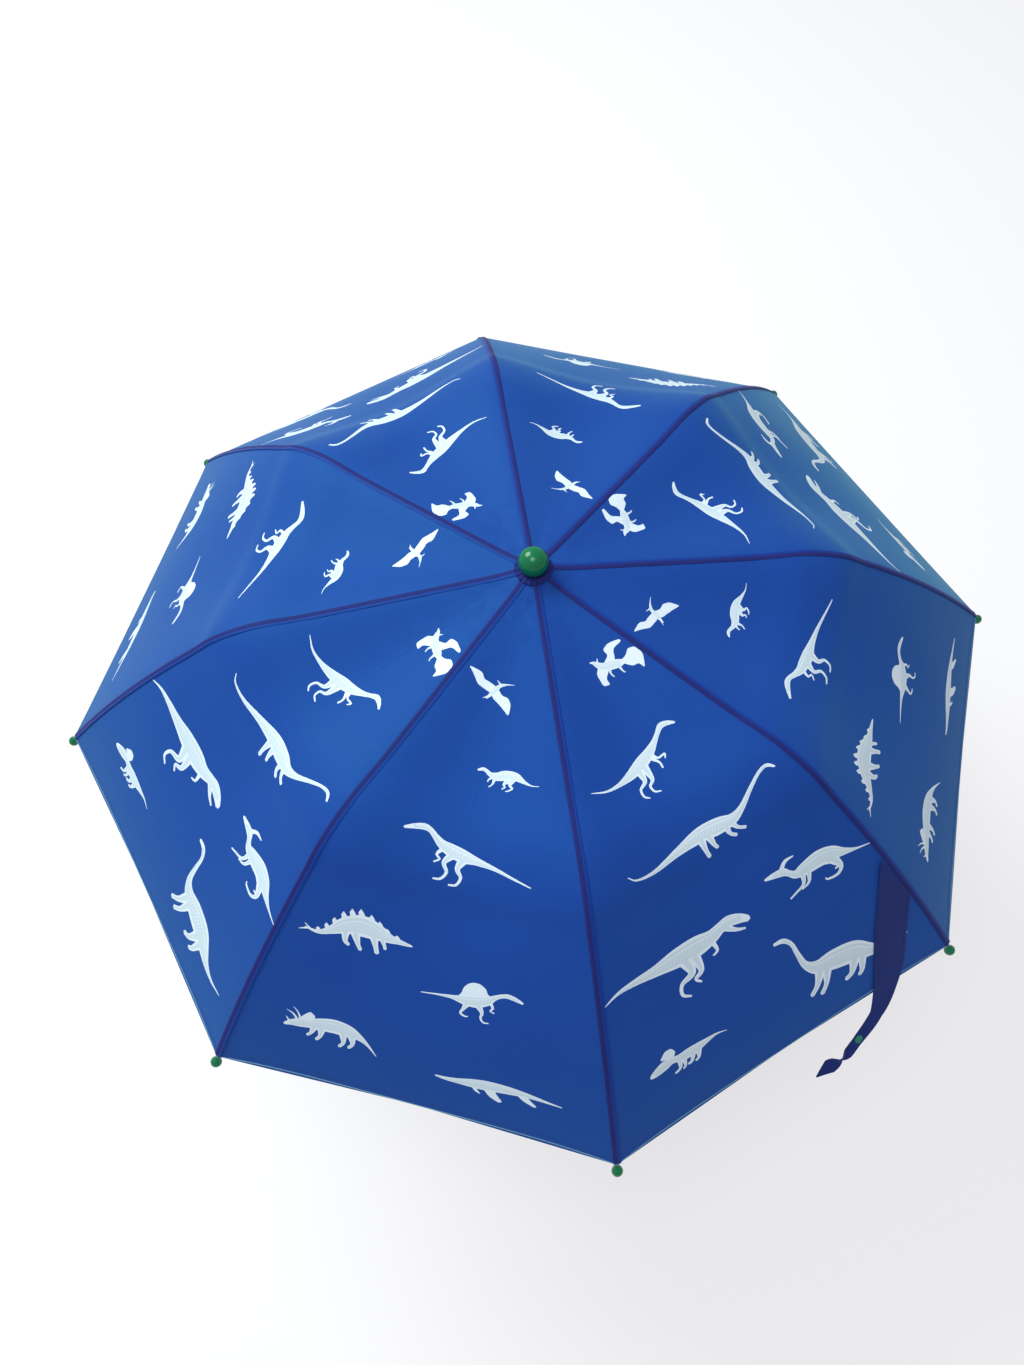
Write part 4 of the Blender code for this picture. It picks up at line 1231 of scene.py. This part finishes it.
def pin_tree():
    """A pin with a domed head at each end, through each point of a mesh and along Y."""
    inputs = [("Places", "Geometry"), ("Length", "Float"), ("Radius", "Float"), ("Head", "Float")]
    tree, graph, value = new_tree("pins", *inputs, ("Material", "Material"))
    values = {"Vertices": 12, "Radius": value("Radius"), "Depth": value("Length")}
    shank = graph.node("GeometryNodeMeshCylinder", None, values)
    join = graph.node("GeometryNodeJoinGeometry")
    tree.links.new(shank.socket, join.socket.node.inputs[0])
    for end in (0.5, -0.5):
        values = {"Segments": 12, "Rings": 6, "Radius": value("Head")}
        ball = graph.node("GeometryNodeMeshUVSphere", None, values)
        place = graph.together(0.0, 0.0, value("Length") * end)
        values = {"Geometry": ball, "Scale": (1.0, 1.0, 0.45), "Translation": place}
        head = graph.node("GeometryNodeTransform", None, values)
        tree.links.new(head.socket, join.socket.node.inputs[0])
    values = {"Points": value("Places"), "Instance": join, "Rotation": (math.pi / 2, 0.0, 0.0)}
    pins = graph.node("GeometryNodeInstanceOnPoints", None, values)
    graph.node("NodeGroupOutput", None, {"Result": end_tree(graph, pins, value("Material"))})
    return tree


RIDGE_TREE = ridge_tree()
STITCH_TREE = stitch_tree()
BRAID_TREE = braid_tree()
PIN_TREE = pin_tree()


def made_by(tree, source, **values):
    """The plain mesh that a tree makes from a source object, which is then removed."""
    add_tree(source, tree, **values)
    mesh = evaluated_mesh(source)
    bpy.data.objects.remove(source, do_unlink=True)
    return mesh


def ridge(points, width, height, material):
    return made_by(RIDGE_TREE, polyline("path", points), Width=width, Height=height, Material=material)


def stitches(points):
    source = polyline("path", points)
    sizes = {"Pitch": 0.0030, "Length": 0.0022, "Thread": 0.00038}
    return made_by(STITCH_TREE, source, **sizes, Material=NAVY_THREAD)


def merged(name, meshes):
    """One object out of several meshes, which keeps each one's material."""
    shape = bmesh.new()
    materials = []
    for mesh in meshes:
        for material in mesh.materials:
            if material not in materials:
                materials.append(material)
        places = [materials.index(material) for material in mesh.materials]
        first = len(shape.faces)
        shape.from_mesh(mesh)
        shape.faces.ensure_lookup_table()
        for face in shape.faces[first:]:
            face.material_index = places[face.material_index]
            face.smooth = True
        bpy.data.meshes.remove(mesh)
    mesh = mesh_of(shape, name, *materials)
    mesh.set_sharp_from_angle(angle=math.radians(50))
    return link_object(name, mesh)


SEAM_WIDTH = 0.0062
SEAM_HEIGHT = 0.0007
SEAM_CORD_WIDTH = 0.0042
SEAM_CORD_HEIGHT = 0.0008
SEAM_STEP = 0.004
SEAM_JOINT_REACH = 0.012
HEM_DEPTH = 0.0040
HEM_RIDGE = 0.0010


def seam_path(rib, start, end):
    """Points of the cloth over a rib between two distances from the hole."""
    count = max(2, round((end - start) / SEAM_STEP))
    flat = []
    for i in range(count + 1):
        distance = start + (end - start) * i / count
        flat.append((distance, -half_width(distance)))
    return bent(flat, rib_angle(rib) + HALF_SECTOR, rib)


def shifted(points, rib, side, lift):
    """The points moved sideways from the rib's plane, and up."""
    beside = rib_turn(rib).to_3x3() @ Vector((0, side, 0))
    return [point + beside + Vector((0, 0, lift)) for point in points]


def make_seams():
    """The felled seam over each rib, in two lengths that each run over one rib joint."""
    middle = (ZONE_ENDS[0] + ZONE_ENDS[1]) / 2
    spans = (
        ("upper", 0.009, middle, "main", "middle"),
        ("lower", middle, CLOTH_LENGTH - 0.001, "middle", "outer"),
    )
    for rib in range(1, RIBS + 1):
        for number, (label, start, end, first, second) in enumerate(spans):
            path = seam_path(rib, start, end)
            meshes = [
                # The wide band is coloured darker than the cloth, which is painted shade along the fold.
                # The narrow navy cord is the real seam line.
                ridge(shifted(path, rib, 0.0007, 0.0001), SEAM_WIDTH, SEAM_HEIGHT, SEAM_CLOTH_PAINTED_SHADE),
                ridge(shifted(path, rib, -0.0005, 0.0002), SEAM_CORD_WIDTH, SEAM_CORD_HEIGHT, NAVY_BINDING),
                stitches(shifted(path, rib, 0.0024, 0.00032)),
            ]
            obj = merged(f"seam_{label}_{rib}", meshes)
            bend = ZONE_ENDS[number]
            joint = seam_path(rib, bend - SEAM_JOINT_REACH, bend + SEAM_JOINT_REACH)
            tuple(joint[0])
            tuple(joint[-1])
            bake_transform(obj)


def make_hems():
    """The turned hem of each half gore: a pale edge and a row of stitches."""
    count = 44
    reach = half_width(CLOTH_LENGTH)
    share = half_width(CLOTH_LENGTH - HEM_DEPTH) / reach
    for rib in range(1, RIBS + 1):
        turn = rib_angle(rib) + HALF_SECTOR
        for owner, sign in ((rib, 1), (rib % RIBS + 1, -1)):
            sides = [-sign * reach * i / count for i in range(count + 1)]
            edge = bent([(CLOTH_LENGTH, side) for side in sides], turn, rib)
            inner = bent([(CLOTH_LENGTH - HEM_DEPTH, side * share) for side in sides[:-1]], turn, rib)
            lifted = [point + Vector((0, 0, 0.0003)) for point in inner]
            meshes = [ridge(edge, HEM_RIDGE, HEM_RIDGE, HEM_EDGE), stitches(lifted)]
            obj = merged(f"hem_{owner}_{'after' if sign > 0 else 'before'}", meshes)
            gather(obj, owner, "outer", sign)


make_seams()
make_hems()


# ---------------------------------------------------------------- crown, tips and strap

KNOB_RADIUS = 0.01285
KNOB_BASE_Z = CROWN_Z + 0.0063
KNOB_CENTRE_Z = KNOB_BASE_Z + 0.0095
COLLAR_FOLDS = 19


def make_knob():
    profile = [(0.0, KNOB_CENTRE_Z + KNOB_RADIUS)]
    for degrees in range(84, -48, -6):
        angle = math.radians(degrees)
        profile.append((KNOB_RADIUS * math.cos(angle), KNOB_CENTRE_Z + KNOB_RADIUS * math.sin(angle)))
    profile += [(0.0084, KNOB_BASE_Z + 0.0003), (0.0080, KNOB_BASE_Z), (0.0, KNOB_BASE_Z)]
    knob = link_object("knob", turned_mesh("knob", profile, 64, GREEN_PLASTIC))
    settle(knob, "crown", "ferrule_knob")


def make_collar():
    """The gathered ring of cloth that the knob clamps."""
    rows, columns = 12, COLLAR_FOLDS * 12
    inner, outer = 0.0040, 0.0160
    shape = bmesh.new()
    layers = []
    for thick in (0.00025, -0.00025):
        grid = []
        for i in range(rows + 1):
            share = i / rows
            ring = []
            for j in range(columns):
                angle = 2 * math.pi * j / columns
                slow = math.sin(3 * angle + 0.7) * 0.5 + math.sin(5 * angle) * 0.3
                fold = math.sin(COLLAR_FOLDS * angle + 0.5 * slow)
                radius = inner + (outer - inner) * share + share * (0.0005 * fold + 0.0004 * slow)
                rise = 0.0012 * math.sin(math.pi * min(1.0, share * 1.15)) * share
                height = CROWN_Z + 0.0050 + rise + 0.00055 * fold * share**1.5 + thick
                ring.append(shape.verts.new((radius * math.cos(angle), radius * math.sin(angle), height)))
            grid.append(ring)
        layers.append(grid)
    rings = layers[0] + layers[1][::-1]
    for ring, following in zip(rings, rings[1:] + rings[:1]):
        for j in range(columns):
            k = (j + 1) % columns
            shape.faces.new((ring[j], following[j], following[k], ring[k])).smooth = True
    bmesh.ops.recalc_face_normals(shape, faces=shape.faces)
    collar = link_object("collar", mesh_of(shape, "collar", NAVY_BINDING))
    settle(collar, "crown", "canopy_collar")


TIP_PROFILE = [
    (0.0, 0.0140), (0.0015, 0.0137), (0.0029, 0.0129), (0.0040, 0.0116), (0.0047, 0.0100),
    (0.0049, 0.0086), (0.0045, 0.0070), (0.0036, 0.0054), (0.0027, 0.0040), (0.0022, 0.0028),
    (0.0020, 0.0016), (0.0023, 0.0009), (0.0022, 0.0002), (0.0, 0.0002),
]


def make_tips():
    x, z, slope = outer_point(OUTER_LENGTH)
    place = Matrix.Translation((x, 0, z)) @ Matrix.Rotation(slope + math.pi / 2, 4, "Y")
    for rib in range(1, RIBS + 1):
        mesh = turned_mesh(f"tip_{rib}", TIP_PROFILE, 28, GREEN_PLASTIC, 60)
        mesh.transform(rib_turn(rib) @ place)
        tip = link_object(f"tip_{rib}", mesh)
        settle(tip, f"outer_{rib}", f"rib_tip_{rib}")


# The strap's middle line over the canopy and past its hem: x, y, z and half its width.
STRAP_ROUTE = [
    (0.2660, -0.2700, 0.4290, 0.0165),
    (0.2634, -0.2881, 0.4124, 0.0165),
    (0.2599, -0.3088, 0.3943, 0.0165),
    (0.2578, -0.3297, 0.3745, 0.0158),
    (0.2540, -0.3470, 0.3600, 0.0122),
    (0.2449, -0.3670, 0.3415, 0.0054),
    (0.2277, -0.3846, 0.3235, 0.0040),
    (0.2156, -0.3950, 0.3135, 0.0042),
    (0.2030, -0.4000, 0.3060, 0.0060),
    (0.1908, -0.4064, 0.2985, 0.0004),
]
STRAP_RIB = 6
STRAP_HALF_THICKNESS = 0.0003
STRAP_LAID_ROWS = 4
STRAP_LAID_ACROSS = Vector((0.965, 0.10, -0.25))
STRAP_FREE_ACROSS = Vector((0.70, -0.70, 0.0))
STRAP_TWIST = (6.3, 7.9)
STRAP_CUT = (-0.60, 0.85)
STRAP_CUT_ENDS = 1.6
STRAP_FASTENER_ROW = 5.9
STRAP_COLUMNS = 8
STRAP_ROWS = 72


def strap_frame(place):
    """(centre, across, out, half width) at a place on the strap's route, counted in its rows."""
    last = len(STRAP_ROUTE) - 1
    points = [Vector(row[:3]) for row in STRAP_ROUTE]
    ends = [2 * points[0] - points[1], *points, 2 * points[-1] - points[-2]]
    i = clamped(int(place), 0, last - 1)
    a, b, c, d = ends[i : i + 4]
    t = place - i
    start, curve, end = (c - a) / 2, (2 * a - 5 * b + 4 * c - d) / 2, (3 * b - a - 3 * c + d) / 2
    if t < 0:
        at, ahead = b + start * t, start.normalized()
    else:
        at = b + start * t + curve * t * t + end * t**3
        ahead = (start + curve * (2 * t) + end * (3 * t * t)).normalized()
    share = clamped(t)
    half = STRAP_ROUTE[i][3] * (1 - share) + STRAP_ROUTE[i + 1][3] * share
    free = clamped((place - STRAP_LAID_ROWS) / 2)
    out = ahead.cross(STRAP_LAID_ACROSS.lerp(STRAP_FREE_ACROSS, free)).normalized()
    turned = clamped((place - STRAP_TWIST[0]) / (STRAP_TWIST[1] - STRAP_TWIST[0]))
    out.rotate(Matrix.Rotation(math.pi * turned * turned * (3 - 2 * turned), 3, ahead))
    return at, out.cross(ahead), out, half


def strap_point(place, side, lift):
    """A point of the strap, whose sewn end is cut on a slant along the seam."""
    cut = STRAP_CUT[0] + (STRAP_CUT[1] - STRAP_CUT[0]) * (side + 1) / 2
    if place < STRAP_CUT_ENDS:
        place = STRAP_CUT_ENDS - (STRAP_CUT_ENDS - place) * (STRAP_CUT_ENDS - cut) / STRAP_CUT_ENDS
    at, across, out, half = strap_frame(place)
    return at + across * (half * side) + out * (lift - 0.0004 * side * side)


def strap_mesh(places):
    """(mesh, how far along the strap each place is), with a UV map in metres."""
    shape = bmesh.new()
    flat = shape.loops.layers.uv.new("cloth")
    distances = running_lengths([strap_point(place, 0, 0) for place in places])
    found, rings = {}, []
    for place, distance in zip(places, distances):
        ring = []
        for lift, order in ((STRAP_HALF_THICKNESS, 1), (-STRAP_HALF_THICKNESS, -1)):
            for j in range(STRAP_COLUMNS + 1):
                side = order * (2 * j / STRAP_COLUMNS - 1)
                vertex = shape.verts.new(strap_point(place, side, lift))
                found[vertex] = (side * strap_frame(place)[3], distance)
                ring.append(vertex)
        rings.append(ring)
    for ring, following in zip(rings, rings[1:]):
        for j in range(len(ring)):
            k = (j + 1) % len(ring)
            shape.faces.new((ring[j], ring[k], following[k], following[j])).smooth = True
    for ring in (rings[0], rings[-1]):
        for j in range(STRAP_COLUMNS):
            shape.faces.new((ring[j], ring[j + 1], ring[-2 - j], ring[-1 - j]))
    for face in shape.faces:
        for loop in face.loops:
            loop[flat].uv = found[loop.vert]
    bmesh.ops.recalc_face_normals(shape, faces=shape.faces)
    mesh = mesh_of(shape, "strap", NAVY_CLOTH)
    mesh.set_sharp_from_angle(angle=math.radians(50))
    return mesh, distances


def make_strap():
    places = [(len(STRAP_ROUTE) - 1) * i / STRAP_ROWS for i in range(STRAP_ROWS + 1)]
    mesh, distances = strap_mesh(places)
    strap = link_object("strap", mesh)
    gather(strap, STRAP_RIB, "outer", -1)
    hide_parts("closing_strap")
    halves = [strap_frame(place)[3] for place in places]
    area = sum((b - a) * (m + n) for a, b, m, n in zip(distances, distances[1:], halves, halves[1:]))
    edging = []
    for side in (-0.86, 0.86):
        edging.append(stitches([strap_point(place, side, 0.0004) for place in places[1:-8]]))
    sewn = merged("strap_stitches", edging)
    gather(sewn, STRAP_RIB, "outer", -1)
    2 * max(halves)
    make_patch(strap_frame(STRAP_FASTENER_ROW))


def make_patch(row):
    """The small sewn-on fastener near the strap's end."""
    at, across, out, _ = row
    thickness = 0.0006
    shape = rounded_box((0.008, 0.005, thickness), 2, 0.0012, 4)
    rims = [e for e in shape.edges if abs(abs(e.verts[0].co.z + e.verts[1].co.z) - thickness) < 1e-5]
    bmesh.ops.bevel(shape, geom=rims, offset=0.00015, segments=2, affect="EDGES")
    mesh = mesh_of(shape, "patch", PATCH_PLASTIC)
    ahead = across.cross(out)
    turn = Matrix((ahead, across, out)).transposed().to_4x4()
    mesh.transform(Matrix.Translation(at + out * 0.0010) @ turn)
    mesh.set_sharp_from_angle(angle=math.radians(40))
    patch = link_object("strap_patch", mesh)
    gather(patch, STRAP_RIB, "outer", -1)
    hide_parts("strap_fastener")


make_knob()
make_collar()
make_tips()
make_strap()


# ---------------------------------------------------------------- shaft, handle and cord


def make_tubes():
    """The three tubes of the shaft, each with rolled ends."""
    wall = 0.0007
    upper = (CROWN_Z - 0.205, CROWN_Z - 0.205 + 0.2015)
    tubes = (
        ("upper_tube", "crown", 0.0060, upper),
        ("middle_tube", "middle_shaft", 0.0050, (0.174, 0.374)),
        ("lower_tube", "handle", 0.0040, (-0.0137, 0.214)),
    )
    for name, body, radius, (low, high) in tubes:
        inner, ease = radius - wall, 0.0002
        profile = [
            (inner, low + ease),
            (inner, high - ease),
            (inner + ease, high),
            (radius - ease, high),
            (radius, high - ease),
            (radius, low + ease),
            (radius - ease, low),
            (inner + ease, low),
            (inner, low + ease),
        ]
        tube = link_object(name, turned_mesh(name, profile, 48, TUBE_STEEL, 60))
        settle(tube, body, f"shaft_{name}")


CORD_RADIUS = 0.0022
CORD_ANGLE = math.radians(22.5)
CORD_HALF = [
    (0.0080, -0.0025, -0.0260),
    (0.0135, -0.0025, -0.0262),
    (0.0190, -0.0032, -0.0295),
    (0.0222, -0.0062, -0.0400),
    (0.0225, -0.0105, -0.0580),
    (0.0220, -0.0150, -0.0800),
    (0.0215, -0.0185, -0.1030),
    (0.0210, -0.0180, -0.1240),
    (0.0205, -0.0110, -0.1390),
]
CORD_ROUTE = [*CORD_HALF, (0.0205, 0.0, -0.1440), *((x, -y, z) for x, y, z in reversed(CORD_HALF))]


def make_cord():
    turn = Matrix.Rotation(CORD_ANGLE, 3, "Z")
    path = [turn @ point for point in smooth_route(CORD_ROUTE, 0.003)]
    mesh = made_by(
        BRAID_TREE,
        polyline("path", path),
        Strands=6,
        Lay=0.012,
        Radius=CORD_RADIUS,
        Strand_Width=0.00125,
        Material=CORD_LIME,
        Fleck=CORD_FLECK,
    )
    cord = merged("wrist_loop", [mesh])
    settle(cord, "handle", "wrist_cord")
    tuple(path[0])
    running_lengths(path)[-1]


def make_handle():
    """The round grip, with a socket for the tube and an oval hole for the loop."""
    radius, socket, shoulder, flat = HANDLE_RADIUS, 0.0043, 0.0015, 0.006
    dome = radius - flat
    profile = [(0.0, -0.014), (socket, -0.014)]
    profile += [(socket, HANDLE_TOP_Z - 0.0006), (socket + 0.0006, HANDLE_TOP_Z)]
    for degrees in range(90, -1, -15):
        angle = math.radians(degrees)
        x = radius - 0.001 - shoulder + shoulder * math.cos(angle)
        profile.append((x, HANDLE_TOP_Z - shoulder + shoulder * math.sin(angle)))
    profile += [(radius - 0.0002, 0.019), (radius, 0.012), (radius, -0.010), (radius, -0.028)]
    for degrees in range(0, 91, 10):
        angle = math.radians(degrees)
        profile.append((flat + dome * math.cos(angle), HANDLE_END_Z + 0.0050 * (1 - math.sin(angle))))
    profile.append((0.0, HANDLE_END_Z))
    handle = link_object("grip", turned_mesh("grip", profile, 72, HANDLE_PLASTIC, 50))
    cutter_mesh = mesh_of(rounded_box((0.0130, 0.0104, 0.0052), 0, 0.0022, 5), "cord_hole")
    cutter_mesh.transform(Matrix.Rotation(CORD_ANGLE, 4, "Z") @ Matrix.Translation((0.0140, 0, -0.026)))
    cutter = link_object("cord_hole", cutter_mesh)
    hole = handle.modifiers.new("hole", "BOOLEAN")
    hole.object = cutter
    hole.solver = "EXACT"
    grip = finished("grip", handle)
    bpy.data.objects.remove(cutter, do_unlink=True)
    grip.data.set_sharp_from_angle(angle=math.radians(40))
    settle(grip, "handle", "handle")


def ring_mesh(name, radius, thickness, height, material):
    """A round wire ring about the shaft."""
    profile = []
    for i in range(9):
        angle = 2 * math.pi * i / 8
        profile.append((radius + thickness * math.cos(angle), height + thickness * math.sin(angle)))
    return turned_mesh(name, profile, 64, material, 60)


def make_pins():
    """Hinge wires in the crown and the runner, and a rivet at each joint of each rib."""
    for name, body, radius, height in (
        ("crown_wire", "crown", CROWN_HINGE[0], CROWN_Z),
        ("runner_wire", "runner", RUNNER_HINGE_RADIUS, RUNNER_Z),
    ):
        wire = link_object(name, ring_mesh(name, radius, 0.0005, height, PIN_STEEL))
        settle(wire, body)
    kinds = (
        ("stretcher_pin", "main", ATTACH, 0.0064, 0.0006, 0.0012),
        ("first_pin", "middle", FIRST_PIVOT, 0.0036, 0.0006, 0.0011),
        ("second_pin", "outer", SECOND_PIVOT, 0.0034, 0.0005, 0.0010),
    )
    for label, body, (x, z), length, radius, head in kinds:
        for rib in range(1, RIBS + 1):
            mesh = bpy.data.meshes.new("places")
            mesh.from_pydata([(x, 0.0, z)], [], [])
            values = {"Length": length, "Radius": radius, "Head": head, "Material": PIN_STEEL}
            made = made_by(PIN_TREE, link_object("places", mesh), **values)
            made.transform(rib_turn(rib))
            pin = merged(f"{label}_{rib}", [made])
            settle(pin, f"{body}_{rib}")


def dress_frame():
    """Gives the frame's own nodes that stay in sight their finishes."""
    for name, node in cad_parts.items():
        if name.startswith(("main_rib", "middle_rib", "outer_rib", "stretcher")):
            material = RIB_STEEL
        elif name in ("top_notch", "runner"):
            material = HUB_PLASTIC
        elif name == "runner_button":
            material = BUTTON_PLASTIC
        else:
            continue
        for place in node.material_slots:
            place.material = material


make_tubes()
make_cord()
make_handle()
make_pins()
dress_frame()


# ---------------------------------------------------------------- floor and lights


def make_floor():
    mesh = bpy.data.meshes.new("floor")
    half, height = 6.0, CAD_BOX[0][2] - 0.0015
    corners = [(x * half, y * half, height) for x, y in ((-1, -1), (1, -1), (1, 1), (-1, 1))]
    mesh.from_pydata(corners, [], [(0, 1, 2, 3)])
    constants = {
        "Specular_IOR_Level": 0.1,
        "Base_Color": (0.42, 0.42, 0.42, 1.0),
        "Emission_Color": (1.0, 1.0, 1.0, 1.0),
        "Emission_Strength": 0.58,
    }
    mesh.materials.append(new_surface("pale_floor", 0.9, **constants)[2])
    floor = link_object("floor", mesh)


def add_light(name, place, aim, size, watts, colour):
    data = bpy.data.lights.new(name, "AREA")
    data.shape = "DISK"
    data.size = size
    data.energy = watts
    data.color = colour
    light = bpy.data.objects.new(name, data)
    bpy.context.scene.collection.objects.link(light)
    light.location = place
    light.rotation_euler = (Vector(aim) - Vector(place)).to_track_quat("-Z", "Y").to_euler()


def make_lights():
    world = bpy.data.worlds.new("studio")
    world.use_nodes = True
    background = world.node_tree.nodes["Background"]
    background.inputs["Color"].default_value = (0.95, 0.94, 1.0, 1.0)
    background.inputs["Strength"].default_value = 0.42
    bpy.context.scene.world = world
    add_light("key", (-1.3, 1.5, 2.4), (-0.05, 0.05, 0.4), 1.7, 70, (0.90, 1.0, 0.98))
    add_light("top", (-0.3, -0.6, 2.8), (0, 0, 0.3), 1.2, 22, (0.98, 0.90, 1.0))


make_floor()
make_lights()
bpy.context.scene.view_settings.view_transform = "Standard"

bpy.data.objects.remove(SECTION_CURVE, do_unlink=True)
